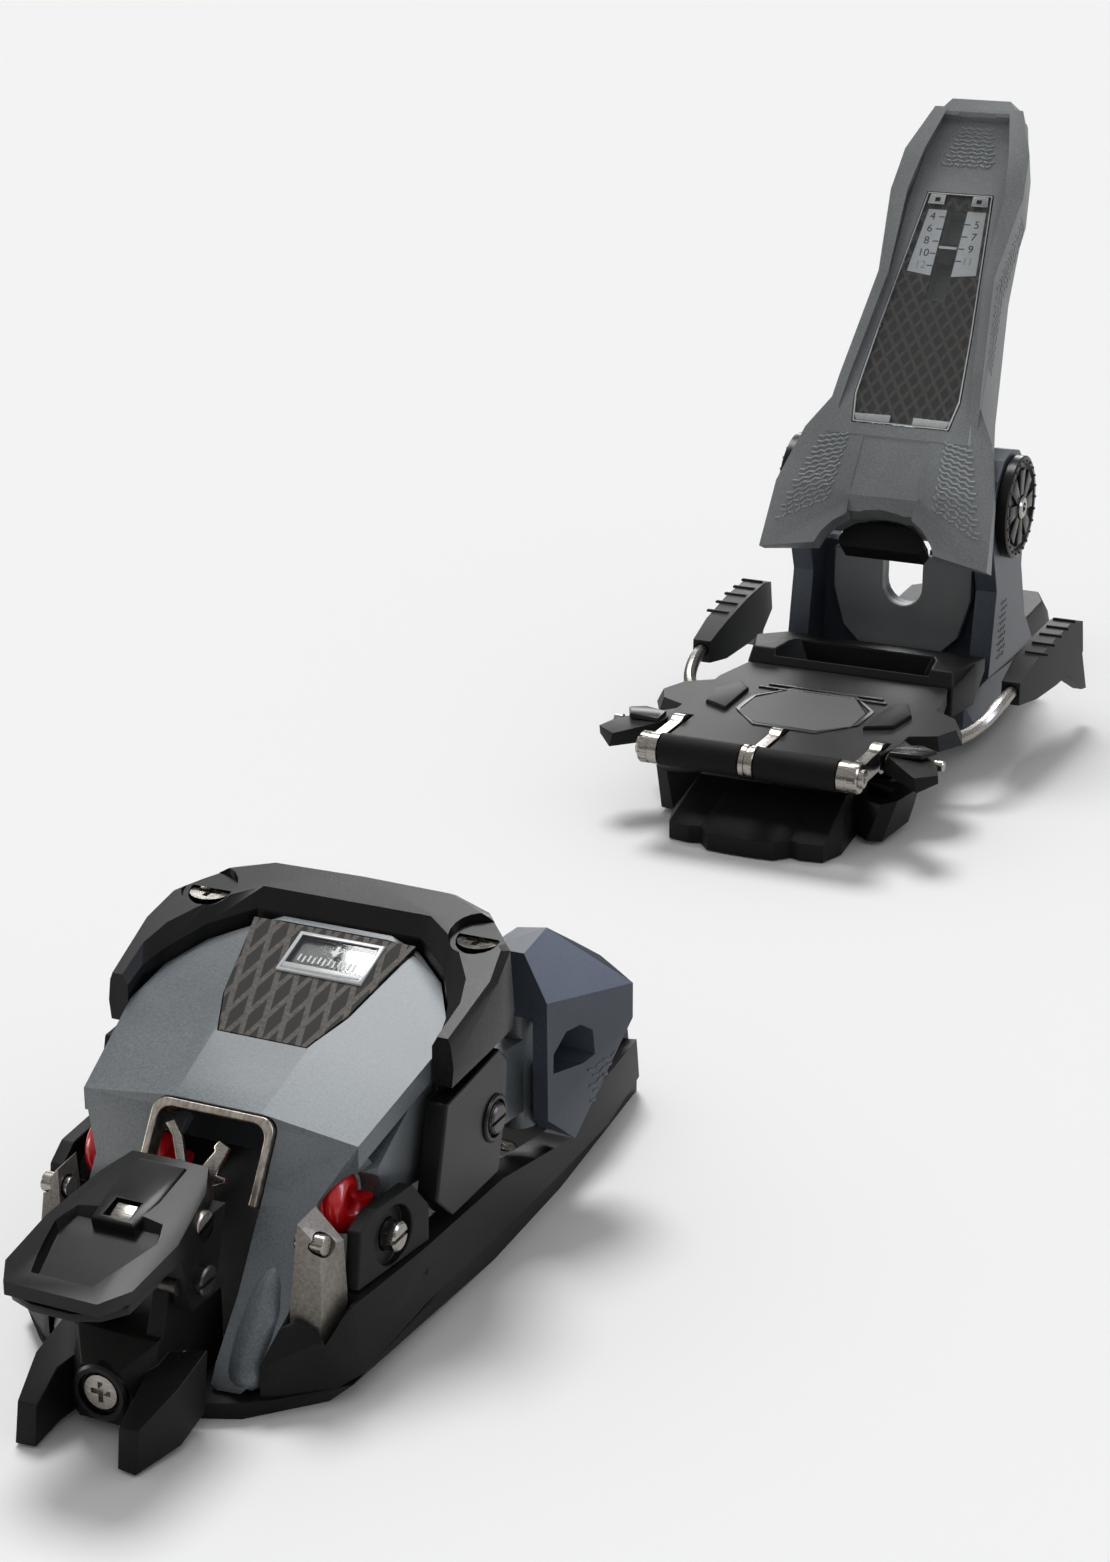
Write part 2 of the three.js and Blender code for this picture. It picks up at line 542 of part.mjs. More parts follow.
function techArm(side) {
  const foot = [[24.2, -66, 7], [29, -65.5, 7], [24.2, -58.4, 7], [30.4, -58.4, 7]];
  const waist = [[24.2, -66.6, 18], [30.2, -65.6, 18], [24.2, -58.4, 18], [31.8, -58.4, 18]];
  const head = [[25.4, -64.9, 35], [29.4, -64, 30.5], [25.6, -58.4, 35.6], [31.2, -58.4, 30]];
  const body = chain([foot, waist, head].map((row) => onSide(side, row)));
  const pinHole = rod([side * 18, TECH_PIN.y, TECH_PIN.z], [side * 40, TECH_PIN.y, TECH_PIN.z],
    TECH_PIN.radius + GAP, 16);
  return cut(body, pinHole);
}

function armRooms() {
  return SIDES.map(([, side]) => hull(onSide(side, [
    [23.6, -66.6, 6], [30, -66.6, 6], [23.6, -57.9, 6], [31.4, -57.9, 6],
    [23.6, -67.2, 20], [33, -66.8, 20], [23.6, -57.9, 20], [34, -57.9, 20],
    [23.6, -67.2, 38], [34, -66.8, 38], [23.6, -57.9, 38], [35, -57.9, 38],
  ])));
}

function sideLug(side) {
  const face = [[33.4, -57.6, 19.4], [33.4, -56, 30.5], [34, -51, 33], [35.2, -39, 32.8], [36.4, -34.6, 27],
    [36.4, -34.6, 19.4]];
  const plate = hull(onSide(side, [...face, ...face.map(([x, y, z]) => [x - 2.9, y, z])]));
  const { y, z, radius } = SIDE_BOLT;
  const recess = rod([side * 33.4, y, z], [side * 42, y, z], radius + 3, 24);
  const hole = rod([side * 26, y, z], [side * 42, y, z], radius + GAP, 20);
  return cut(plate, recess, hole);
}

function coil(side) {
  const start = side > 0 ? COIL.start : -COIL.start - COIL.pitch * COIL.turns;
  const curve = new CoilCurve(start, COIL.pitch, COIL.turns, COIL.y, COIL.z, COIL.radius);
  const section = new THREE.Shape();
  section.absarc(0, 0, COIL.wire / 2, 0, Math.PI * 2);
  const steps = 14 * COIL.turns;
  return solid(new THREE.ExtrudeGeometry(section, { steps, extrudePath: curve, curveSegments: 3 }));
}

const LATCH_OUTLINE = [[-6, 47], [-2.5, 43], [-4, 31], [-7, 21], [-27, 21], [-33.6, 27], [-29, 45]];

function latchRoom(side) {
  const outline = LATCH_OUTLINE.map(([y, z]) => [y, z + (z > 40 ? GAP : 0)]);
  return slabSide(side, outline, 33 - GAP, 37.6 + GAP);
}

function sideLatch(side) {
  const plate = slabSide(side, LATCH_OUTLINE, 33, 37.6);
  const hole = rod([side * 30, LATCH_PIN.y, LATCH_PIN.z], [side * 45, LATCH_PIN.y, LATCH_PIN.z],
    LATCH_PIN.radius + GAP, 20);
  return cut(plate, hole);
}

function addTechToe() {
  add(binding, 'toe_base_plate', toeBase(), LOOKS.black());
  add(binding, 'toe_nose', toeNose(), LOOKS.black());
  add(binding, 'front_screw',
    crossScrew([0, -92.4, FRONT_SCREW.z], [0, -1, 0], FRONT_SCREW.radius, 1.6, 2.2, 9), LOOKS.steel());
  add(binding, 'tech_lever', techLever(), LOOKS.satin());
  add(binding, 'lever_latch', hull([
    [-2.5, -83, 35], [2.5, -83, 35], [-2.5, -78.4, 35], [2.5, -78.4, 35],
    [-2.5, -83, 38], [2.5, -83, 38], [-2.5, -78.4, 40], [2.5, -78.4, 40],
  ]), LOOKS.steel());
  add(binding, 'lever_axle', crossRod(0, LEVER_AXLE.y, LEVER_AXLE.z, LEVER_AXLE.radius, 26), LOOKS.bare());
  add(binding, 'toe_glide_plate', box(-GLIDE.halfWidth, GLIDE.halfWidth, GLIDE.y - GLIDE.length / 2,
    GLIDE.y + GLIDE.length / 2, GLIDE.z, GLIDE.z + GLIDE.thickness), LOOKS.rubber());
  add(binding, 'steel_fork', hull([[-7, -60, 30], [7, -60, 30], [-7, -58, 40], [7, -58, 40], [0, -56, 30]]),
    LOOKS.steel());
  SIDES.forEach(([name, side]) => {
    const toeScrew = crossScrew([side * 20, 28, 5.9], [0, 0, 1], 4.2, 2.4, 2, 2);
    add(binding, `toe_screw_${name}`, toeScrew, LOOKS.steel());
    add(binding, `tech_arm_${name}`, techArm(side), LOOKS.bare());
    add(binding, `tech_pin_${name}`, rod([side * TECH_PIN.tip, TECH_PIN.y, TECH_PIN.z],
      [side * TECH_PIN.end, TECH_PIN.y, TECH_PIN.z], TECH_PIN.radius, 16), LOOKS.steel());
    add(binding, `side_lug_${name}`, sideLug(side), LOOKS.black());
    add(binding, `side_bolt_${name}`, rod([side * 31.8, SIDE_BOLT.y, SIDE_BOLT.z],
      [side * 35, SIDE_BOLT.y, SIDE_BOLT.z], SIDE_BOLT.radius, 20), LOOKS.steel());
    add(binding, `coil_${name}`, coil(side), LOOKS.red());
    add(binding, `side_latch_${name}`, sideLatch(side), LOOKS.satin());
    add(binding, `latch_pin_${name}`, rod([side * 33.2, LATCH_PIN.y, LATCH_PIN.z],
      [side * 38.4, LATCH_PIN.y, LATCH_PIN.z], LATCH_PIN.radius, 20), LOOKS.steel());
  });
}

// ---------- heel: rail, front plate, tail ----------
function heelRail() {
  const { halfWidth, thickness, front, rear } = RAIL;
  const track = box(-halfWidth, halfWidth, front, rear, 0, thickness);
  const ridges = SIDES.map(([, side]) => hull(onSide(side, [
    [halfWidth - 4, front + 26, 0.5], [halfWidth, front + 26, 0.5], [halfWidth - 4, rear - 26, 0.5],
    [halfWidth, rear - 26, 0.5], [halfWidth - 4, front + 26, 6.4], [halfWidth - 1, front + 26, 6.4],
    [halfWidth - 4, rear - 26, 6.4], [halfWidth - 1, rear - 26, 6.4],
  ])));
  return join(track, ...ridges);
}

function heelFrontPlate() {
  const half = [[4, -104], [9.5, -103.5], [13, -99.5], [16, -100.5], [22, -99.5], [24.5, -92], [20.5, -84]];
  const low = 0.4;
  const edge = 5.2;
  const ridge = 12.5;
  const rows = [...[...half].reverse().map(([x, y]) => [-x, y]), ...half].map(([x, y]) => [
    [x, y, low], [x, y, edge], [x * 0.86, -80, ridge], [x * 0.9, -62.6, ridge - 2], [x * 0.9, -62.6, low],
  ]);
  const flaps = SIDES.map(([, side]) => chain([
    [[16, -72, 2], [24, -72, 2], [16, -72, 10.5], [24, -72, 11]],
    [[28, -82, 1.4], [32, -81, 1.4], [31, -80, 11.5], [35, -78, 12.5]],
    [[29, -70, 1.4], [34.6, -66.5, 2.6], [31, -68, 12], [37, -66, 12.5]],
    [[22, -62.8, 1.4], [33, -57, 4], [22, -62.8, 11], [34, -57, 11]],
  ].map((row) => onSide(side, row))));
  return join(chain(rows), ...flaps);
}

function heelTail() {
  const y = STAND_REAR + CARRIAGE_TRAVEL + 4;
  const body = hull(both([
    [25, y, 7], [22, y, 16], [25, y + 30, 1], [22, y + 30, 17], [20, y + 50, 1], [18, y + 52, 7],
    [25, y + 4, 1], [16, y + 46, 15],
  ]));
  const track = box(-RAIL.halfWidth - GAP, RAIL.halfWidth + GAP, -80, RAIL.rear + GAP, -2, 6.8);
  const screwHole = rod([0, 60, 11.5], [0, 150, 11.5], LENGTH_SCREW_RADIUS + GAP, 20);
  return cut(body, track, screwHole);
}

// ---------- heel: stand ----------
const WALL_FRONT = 30;

function cheek(side) {
  const tip = DISC_RADIUS + 1.8;
  const arc = Array.from({ length: 9 }, (_, i) => {
    const angle = Math.PI * (1.08 - (i / 8) * 1.16);
    return [PIVOT.y + tip * Math.cos(angle), PIVOT.z + tip * Math.sin(angle)];
  });
  const outline = [[14, 18], [16, 30], [18.5, 44], ...arc, [43, 46], [49, 30], [60, 18]];
  return slabSide(side, outline, CHEEK_INSIDE, CHEEK_INSIDE + CHEEK_WALL);
}

function heelStand() {
  const outside = CHEEK_INSIDE + CHEEK_WALL;
  const foot = hull(both([
    [30, -4, 7.5], [outside, 14, 19], [outside + 1.5, 0, 8], [outside + 1.5, STAND_REAR - 2, 7.5],
    [outside + 1, STAND_REAR, 17],
    [30, -4, 16], [outside, 8, 19], [24, 16, 20], [24, 64, 14],
  ]));
  const wall = box(-CHEEK_INSIDE - 1, CHEEK_INSIDE + 1, WALL_FRONT, WALL_FRONT + 5, 14, 51);
  const notch = slabNotch(7, 33);
  const well = hull(both([[19, 38, 16], [19, 52, 14], [19, 38, 60], [19, 80, 60], [19, 80, 14]]));
  const axleHole = crossRod(0, PIVOT.y, PIVOT.z, PIVOT.radius + GAP, 100);
  const rails = box(-RAIL.halfWidth - RUN, RAIL.halfWidth + RUN, -80, 140, -5, 7.2);
  const screwHole = rod([0, -20, 11.5], [0, 150, 11.5], LENGTH_SCREW_RADIUS + RUN, 20);
  return cut(join(foot, wall, cheek(1), cheek(-1)), notch, well, axleHole, rails, screwHole);
}

// Upright slot with a round bottom through the stand's front.
function slabNotch(halfWidth, bottom) {
  return join(
    box(-halfWidth, halfWidth, 18, 42, bottom + halfWidth, 90),
    rod([0, 18, bottom + halfWidth], [0, 42, bottom + halfWidth], halfWidth, 24),
  );
}

function innerPlate() {
  const shape = polygon([[-13, 21], [13, 21], [18, 26], [21.5, 38], [21.5, 50], [-21.5, 50], [-21.5, 38],
    [-18, 26]]);
  const geometry = new THREE.ExtrudeGeometry(shape, { depth: 3.6, bevelEnabled: false });
  geometry.rotateX(Math.PI / 2);
  geometry.translate(0, WALL_FRONT - GAP, 0);
  return cut(solid(geometry), slabNotch(6.2, 34));
}

function heelTray() {
  const body = hull(both([
    [31, -19.5, 17], [33, -5, 17], [31, -19.5, 26], [33.5, -6, 30], [31, 12, 26], [31, 12, 22],
    [30, -4.8, 17], [30, -17, 30],
  ]));
  const trough = hull(both([[21, -15, 21], [17, -5, 21], [24, -18, 36], [23, -4, 36], [24, -19, 31]]));
  const standRoom = hull(both([
    [40, -4.4, 0], [40, -4.4, 16.4], [40, 8, 19.4], [40, 14, 19.4], [40, 16, 20.4],
    [40, 30, 20.4], [40, 30, 0],
  ]));
  return cut(body, trough, standRoom);
}

// ---------- heel: tower ----------
// The tower is drawn upright round its pivot and leans back as a group.
const tower = new THREE.Group();
tower.position.set(0, PIVOT.y, PIVOT.z);
tower.rotation.x = TOWER_LEAN - Math.PI / 2;
heel.add(tower);

// Points given as [x, n, t]: n forward from the pivot, t up along the tower.
const facing = (points) => points.map(([x, n, t]) => [x, -n, t]);

// Slab drawn in the tower's front face as [x, t], from n0 to n1 in front of the pivot.
function faceSlab(points, n0, n1) {
  const shape = polygon(points);
  const geometry = new THREE.ExtrudeGeometry(shape, { depth: n1 - n0, bevelEnabled: false });
  geometry.rotateX(Math.PI / 2);
  geometry.translate(0, -n0, 0);
  return solid(geometry);
}

const towerRow = (t, halfWidth, front, back) => facing(both([
  [halfWidth, front - 1.5, t], [halfWidth - 2.5, front, t],
  [halfWidth - 1.5, back, t], [halfWidth, back + 4, t],
]));

const HUB_HALF_WIDTH = CHEEK_INSIDE - RUN;
const HUB_RADIUS = 13;

const LABEL_OUTLINE = [
  [-14.6, 12], [14.6, 12], [16, 21], [14.5, 42], [10, 89], [-10, 89], [-14.5, 42], [-16, 21],
];
const SLOT = { halfWidth: 3, low: 54, high: 84 };

const slotOutline = (grow) => [
  [-SLOT.halfWidth - grow, SLOT.low - grow], [SLOT.halfWidth + grow, SLOT.low - grow],
  [SLOT.halfWidth + grow, SLOT.high + grow], [-SLOT.halfWidth - grow, SLOT.high + grow],
];

function towerRims() {
  const face = TOWER_FACE;
  return SIDES.map(([, side]) => chain([
    [[23.4, face - 0.5, 11], [20.5, face - 0.5, 11], [23.6, face - 8, 11]],
    [[21.6, face + 1.6, 26], [18.6, face + 1.6, 26], [21.7, face - 8, 26]],
    [[17.7, face + 3, 60], [14.6, face + 3, 60], [18.1, face - 10, 60]],
    [[20.4, face + 3.6, 87], [15, face + 4.4, 87], [19, face - 10, 85]],
    [[19.2, face + 4, 101], [13, face + 4.6, 101], [17.7, face - 8, 99]],
    [[13.6, face + 3.4, 116.4], [9.5, face + 3.4, 116.4], [13.7, face - 6, 114.2]],
  ].map((row) => facing(onSide(side, row)))));
}

function heelHousing() {
  const face = TOWER_FACE;
  const beam = chain([
    towerRow(-8, HUB_HALF_WIDTH, 12, -8),
    towerRow(8, HUB_HALF_WIDTH - 0.6, face, -7),
    towerRow(24, 22, face, -2),
    towerRow(62, 17.8, face, 1),
    towerRow(88, 17.6, face, 5),
    towerRow(102, 16.6, face, 9),
    towerRow(115, 14, face, 13),
  ]);
  const lip = hull(facing(both([
    [11, face + 3.4, 115], [9, face + 3, TOWER_LENGTH - 1], [11.5, face, TOWER_LENGTH - 2],
    [9, 14, TOWER_LENGTH], [13, 13, 114], [13, face + 3, 114],
  ])));
  const hub = crossRod(0, 0, 0, HUB_RADIUS, HUB_HALF_WIDTH * 2, 28);
  const wide = SKIRT_HALF_WIDTH;
  const skirt = SIDES.map(([, side]) => chain([
    [[10.2, face - 0.2, 21], [21.8, face - 0.2, 21], [21.8, face - 3.4, 21], [10.2, face - 3.4, 21]],
    [[10, face - 0.1, 10], [28.5, face - 0.4, 9], [28.5, face - 3.2, 9], [10, face - 3.2, 10]],
    [[9.8, face - 0.1, -9], [wide - 1.5, face - 0.6, -9],
      [wide - 1.5, face - 3.2, -9], [9.8, face - 3.2, -9]],
    [[10, face - 4, -24], [wide, face - 5, -28.5], [wide, face - 10, -27], [10, face - 10, -24]],
  ].map((row) => facing(onSide(side, row)))));
  const middle = hull(facing(both([
    [11, face - 0.3, 19], [11, face - 0.3, -11], [11, face - 3, -15], [11, face - 9, -15],
    [11, 8.3, 0], [11, 8.3, 19],
  ])));
  const arc = Array.from({ length: 13 }, (_, i) => {
    const angle = (Math.PI * i) / 12;
    return [19 * Math.cos(angle), -30 + 16 * Math.sin(angle)];
  });
  const arch = faceSlab([...arc, [-19, -45], [19, -45]], 3, 40);
  const scoop = hull(facing(both([
    [12.5, face + 8, 94], [9, face + 0.6, 96], [7, face + 8, 118], [5, face + 0.6, 113],
  ])));
  const roomOutline = LABEL_OUTLINE.map(([x, t]) => [x + Math.sign(x) * GAP, t + (t > 50 ? GAP : -GAP)]);
  const labelRoom = faceSlab(roomOutline, face - LABEL_WALL - LENS_WALL - 3 * GAP, face + 12);
  const slot = faceSlab(slotOutline(GAP), face - 9, face + 12);
  const back = hull(facing(both([
    [15, -20, 20], [12, -20, 84], [12, 6, 80], [15, 8, 30], [13, 8, 26], [13, -20, 26],
  ])));
  const axleHole = crossRod(0, 0, 0, PIVOT.radius + GAP, 100);
  const whole = join(beam, lip, hub, ...skirt, middle, ...towerRims());
  return cut(whole, arch, scoop, labelRoom, slot, back, axleHole);
}

function heelPad() {
  const arc = Array.from({ length: 9 }, (_, i) => {
    const angle = (Math.PI * i) / 8;
    return [13 * Math.cos(angle), -21 + 7 * Math.sin(angle)];
  });
  const clear = hull(facing(both([[11.4, 30, -15], [11.4, 11, -15.4], [11.4, 7, 4], [11.4, 30, 4]])));
  return cut(faceSlab([...arc, [-12, -23.4], [12, -23.4]], 4, 11.4), clear,
    crossRod(0, 0, 0, HUB_RADIUS + GAP, 80, 28));
}

function addHeel() {
  add(heel, 'heel_rail', heelRail(), LOOKS.black());
  add(heel, 'heel_front_plate', heelFrontPlate(), LOOKS.black());
  add(heel, 'heel_tail', heelTail(), LOOKS.black());
  const screwHead = [0, RAIL.rear + 18, 11.5];
  add(heel, 'length_screw',
    crossScrew(screwHead, [0, 1, 0], 2.9, 1.6, LENGTH_SCREW_RADIUS - 0.4, 60), LOOKS.steel());
  add(heel, 'heel_stand', heelStand(), LOOKS.blue());
  add(heel, 'inner_plate', innerPlate(), LOOKS.light());
  add(heel, 'heel_tray', heelTray(), LOOKS.black());
  const outside = CHEEK_INSIDE + CHEEK_WALL;
  add(heel, 'pivot_axle', crossRod(0, PIVOT.y, PIVOT.z, PIVOT.radius, outside * 2), LOOKS.steel());
  SIDES.forEach(([name, side]) => {
    const x = side * (outside + GAP + DISC_WALL / 2);
    const disc = crossRod(x, PIVOT.y, PIVOT.z, DISC_RADIUS, DISC_WALL, 40);
    add(heel, `pivot_disc_${name}`, disc, LOOKS.black());
  });
  add(tower, 'heel_housing', heelHousing(), LOOKS.shell());
  add(tower, 'heel_pad', heelPad(), LOOKS.rubber());
  const lensBack = TOWER_FACE - LENS_WALL;
  const labelFront = lensBack - GAP;
  const film = faceSlab(LABEL_OUTLINE, labelFront - LABEL_WALL, labelFront);
  add(tower, 'heel_label', cut(film, faceSlab(slotOutline(0), 0, 40)), LOOKS.label());
  add(tower, 'heel_lens', faceSlab(LABEL_OUTLINE, lensBack, TOWER_FACE), LOOKS.clear());
  const slider = [[-2.4, 66], [2.4, 66], [2.4, 73], [-2.4, 73]];
  add(tower, 'force_slider', faceSlab(slider, labelFront - 4, labelFront), LOOKS.white());
}

// ---------- heel: brake pedal, bail, brake ----------
const LINK_X = [-ROLLER.length - 5.6, 0, ROLLER.length + 5.6];

function brakePedal() {
  const { top, thickness, front, rear } = PEDAL;
  const low = top - thickness;
  const plate = hull(both([
    [28, front, low + 1], [28, front, top - 1], [27, front + 2, top], [33, -74, low], [33, -74, top],
    [30, rear, low], [30, rear, top], [33, -36, low], [33, -36, top],
  ]));
  const wings = SIDES.map(([, side]) => join(
    hull(onSide(side, [
      [30, -66, low + 1], [30, -40, low + 1], [41, -62, low + 1], [45, -54, low + 1], [42, -45, low + 1],
      [30, -66, top], [30, -38, top], [40, -61, top], [43, -54, top], [40, -45.5, top],
    ])),
    hull(onSide(side, [
      [31, -66, low], [31, -80, low], [46, -78, low - 1], [48.5, -86, low + 1], [44, -90, low - 1],
      [31, -66, top], [33, -82, top], [46, -80, top - 1], [48.5, -86.5, top - 1.6], [43, -90, top - 2],
    ])),
  ));
  const slots = LINK_X.map((x) => box(x - BAIL_LINK / 2 - RUN, x + BAIL_LINK / 2 + RUN, front - 5,
    BAIL_PIVOT.y + BAIL_PIN_RADIUS + 2.4 + RUN, 0, 50));
  const rollerRoom = crossRod(0, ROLLER.y, ROLLER.z, ROLLER.radius + RUN, ROLLER.length * 2 + 30);
  const pinHole = crossRod(0, BAIL_PIVOT.y, BAIL_PIVOT.z, BAIL_PIN_RADIUS + GAP, 80);
  const padRoom = slabZ(polygon(padOutline(GAP)), top - 1.6 - GAP, top + 5);
  return cut(join(plate, ...wings), ...slots, rollerRoom, pinHole, padRoom);
}

const padOutline = (grow) => [
  [-9, -71.4], [9, -71.4], [16.5, -64], [16.5, -52], [9, -40], [-9, -40], [-16.5, -52], [-16.5, -64],
].map(([x, y]) => [x + Math.sign(x) * grow, y + (y < -58 ? -grow : grow)]);

function bail() {
  const { y, z } = ROLLER;
  const links = LINK_X.map((x) => {
    const half = BAIL_LINK / 2;
    const ends = [[y, z], [BAIL_PIVOT.y, BAIL_PIVOT.z]];
    const eyes = ends.map(([ey, ez]) => crossRod(x, ey, ez, 4.2, BAIL_LINK, 20));
    const bar = box(x - half, x + half, y, BAIL_PIVOT.y, BAIL_PIVOT.z - 2.4, BAIL_PIVOT.z + 3.2);
    return join(...eyes, bar);
  });
  const axle = crossRod(0, y, z, BAIL_AXLE_RADIUS, ROLLER.length * 2 + 12, 20);
  const pinHole = crossRod(0, BAIL_PIVOT.y, BAIL_PIVOT.z, BAIL_PIN_RADIUS + GAP, 80);
  return cut(join(...links, axle), pinHole);
}

function roller(side) {
  const x = side * (BAIL_LINK / 2 + RUN + ROLLER.length / 2);
  return cut(crossRod(x, ROLLER.y, ROLLER.z, ROLLER.radius, ROLLER.length, 32),
    crossRod(x, ROLLER.y, ROLLER.z, BAIL_AXLE_RADIUS + GAP, ROLLER.length + 4, 20));
}

const WIRE_PATH = [[30, -38, 16.6], [35, -38, 16.8], [40, -36, 18.4], [44.4, -31, 21.6], [46.4, -23, 24.8],
  [47.2, -12, 26.4], [47.8, 2, 27]];

const brakeWire = (side, radius = BRAKE_WIRE_RADIUS) => wire(onSide(side, WIRE_PATH), radius, 26);

function brakeTip(side) {
  const body = chain([
    [[44.2, -16, 22.4], [49.6, -16, 22.4], [44.2, -16, 29], [49.6, -16, 29]],
    [[43.6, -4, 20.4], [51.4, -4, 21], [43.8, -4, 32], [50.4, -4, 32]],
    [[44, 14, 19.6], [52.2, 14, 20], [44.4, 14, 34], [51.2, 14, 34]],
    [[44.4, 28, 19.6], [52.6, 28, 20], [45, 30, 34.6], [51.6, 30, 34.6]],
    [[46, 40, 23.4], [52.6, 40, 22.6], [46.6, 40, 32], [52, 40, 32]],
  ].map((row) => onSide(side, row)));
  const fin = hull(onSide(side, [
    [46, 24, 20.4], [52.4, 24, 20.4], [47, 39, 24], [52.4, 39, 24],
    [50.6, 43, 10.5], [53.4, 43, 10.5], [50.6, 38, 11.5], [53.4, 38, 11.5],
  ]));
  return cut(join(body, fin), brakeWire(side, BRAKE_WIRE_RADIUS + GAP));
}

function addBrake() {
  add(heel, 'brake_pedal', brakePedal(), LOOKS.black());
  add(heel, 'glide_pad', slabZ(polygon(padOutline(0)), PEDAL.top - 1.6, PEDAL.top + 0.4), LOOKS.pad());
  add(heel, 'bail', bail(), LOOKS.steel());
  add(heel, 'bail_pin', crossRod(0, BAIL_PIVOT.y, BAIL_PIVOT.z, BAIL_PIN_RADIUS, 64, 20), LOOKS.steel());
  SIDES.forEach(([name, side]) => {
    add(heel, `roller_${name}`, roller(side), LOOKS.rubber());
    add(heel, `brake_wire_${name}`, brakeWire(side), LOOKS.steel());
    add(heel, `brake_tip_${name}`, brakeTip(side), LOOKS.black());
  });
}

addToeModule();
addWings();
addTechToe();
addHeel();
addBrake();

export default binding;
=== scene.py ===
# %% [markdown]
# # A touring binding
# A touring binding holds a ski boot in two ways: by two steel pins at the toe while the skier walks uphill, and
# by a sprung toe and heel for the way down. It has a toe unit and a heel unit on one ski.
# The frame gives every solid its place and its size, so this lesson only adds finishes and small pieces.
# %% Load the frame
import json
import math
import bpy
from mathutils import Matrix, Vector


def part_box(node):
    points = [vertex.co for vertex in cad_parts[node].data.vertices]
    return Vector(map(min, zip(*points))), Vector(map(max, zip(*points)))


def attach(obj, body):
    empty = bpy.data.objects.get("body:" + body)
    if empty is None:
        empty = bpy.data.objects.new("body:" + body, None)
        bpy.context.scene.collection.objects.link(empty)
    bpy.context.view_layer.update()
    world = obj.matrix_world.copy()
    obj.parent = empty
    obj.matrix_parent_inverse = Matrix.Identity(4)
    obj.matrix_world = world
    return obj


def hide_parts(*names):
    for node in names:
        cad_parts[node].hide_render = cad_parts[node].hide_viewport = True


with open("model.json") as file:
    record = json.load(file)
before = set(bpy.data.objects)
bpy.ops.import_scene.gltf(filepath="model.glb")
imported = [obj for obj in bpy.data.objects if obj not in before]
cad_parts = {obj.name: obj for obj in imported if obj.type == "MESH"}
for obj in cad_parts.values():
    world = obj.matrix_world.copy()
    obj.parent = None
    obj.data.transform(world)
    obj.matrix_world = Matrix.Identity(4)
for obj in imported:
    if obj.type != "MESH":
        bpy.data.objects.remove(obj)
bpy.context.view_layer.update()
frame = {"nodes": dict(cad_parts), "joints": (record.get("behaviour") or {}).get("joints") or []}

MM = 0.001
SIDES = (("left", 1), ("right", -1))

# %% [markdown]
# ## Camera
# A product picture of a long, low object is taken from in front and above with a long lens, so that the far end
# isn't much smaller than the near one. The camera comes first, because everything else is judged through it.
# %% Place the camera
CAMERA_PLACE = Vector((269.617, -485.190, 297.106)) * MM
CAMERA_DOWN = math.radians(20.137)
CAMERA_TURN = math.radians(24.702)
bpy.ops.object.camera_add(location=CAMERA_PLACE, rotation=(math.pi / 2 - CAMERA_DOWN, 0, CAMERA_TURN))
camera = bpy.context.object
camera.name = "picture_camera"
camera.data.lens = 70
camera.data.sensor_width = 36
bpy.context.scene.camera = camera
print("camera looks down", round(math.degrees(CAMERA_DOWN), 1), "degrees")

# %% [markdown]
# ## Helpers for modelling
# An operator acts on whatever is selected, so each piece starts by clearing the selection. A finished piece has
# its place in its mesh: its object stays at the origin.
# %% Selection, placing and finishing
def clear_selection():
    for obj in list(bpy.context.selected_objects):
        obj.select_set(False)


def make_active(obj):
    clear_selection()
    obj.select_set(True)
    bpy.context.view_layer.objects.active = obj


def apply_modifier(obj, kind, **settings):
    make_active(obj)
    modifier = obj.modifiers.new(kind.title(), kind)
    for name, value in settings.items():
        setattr(modifier, name, value)
    bpy.ops.object.modifier_apply(modifier=modifier.name)


def settle(obj, name, body, material, place=None, smooth=30):
    """Gives a finished mesh its name, place, shading, body, slot and material."""
    make_active(obj)
    if place is not None:
        obj.matrix_world = place @ obj.matrix_world
    bpy.ops.object.transform_apply(location=True, rotation=True, scale=True)
    bpy.ops.object.shade_smooth_by_angle(angle=math.radians(smooth))
    obj.name = name
    obj.data.name = name
    obj.data.materials.clear()
    obj.data.materials.append(material)
    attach(obj, body)
    return obj


def frame_at(origin, x_axis, y_axis):
    """A matrix that carries a piece drawn flat to a sloping face: x and y in the face, z out of it."""
    x_axis = Vector(x_axis).normalized()
    z_axis = x_axis.cross(Vector(y_axis)).normalized()
    y_axis = z_axis.cross(x_axis)
    turn = Matrix((x_axis, y_axis, z_axis)).transposed().to_4x4()
    return Matrix.Translation(Vector(origin)) @ turn


def middle(node):
    low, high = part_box(node)
    return (low + high) / 2


# %% [markdown]
# ## Finishes
# Each material starts from what the real one is. A colour is written as a screen hex value and turned linear by
# one function. One function adds a node; every pattern's scale comes from a real size in millimetres, read from
# Object coordinates, so that it stays on the piece when the binding moves.
# %% Colour and node helpers
def colour(text):
    parts = [int(text[i:i + 2], 16) / 255 for i in (1, 3, 5)]
    linear = [c / 12.92 if c <= 0.04045 else ((c + 0.055) / 1.055) ** 2.4 for c in parts]
    return (*linear, 1.0)


def add_node(material, kind, values=None, links=None, **settings):
    node = material.node_tree.nodes.new(kind)
    for name, value in settings.items():
        setattr(node, name, value)
    for socket, value in (values or {}).items():
        node.inputs[socket].default_value = value
    for socket, source in (links or {}).items():
        material.node_tree.links.new(source, node.inputs[socket])
    return node


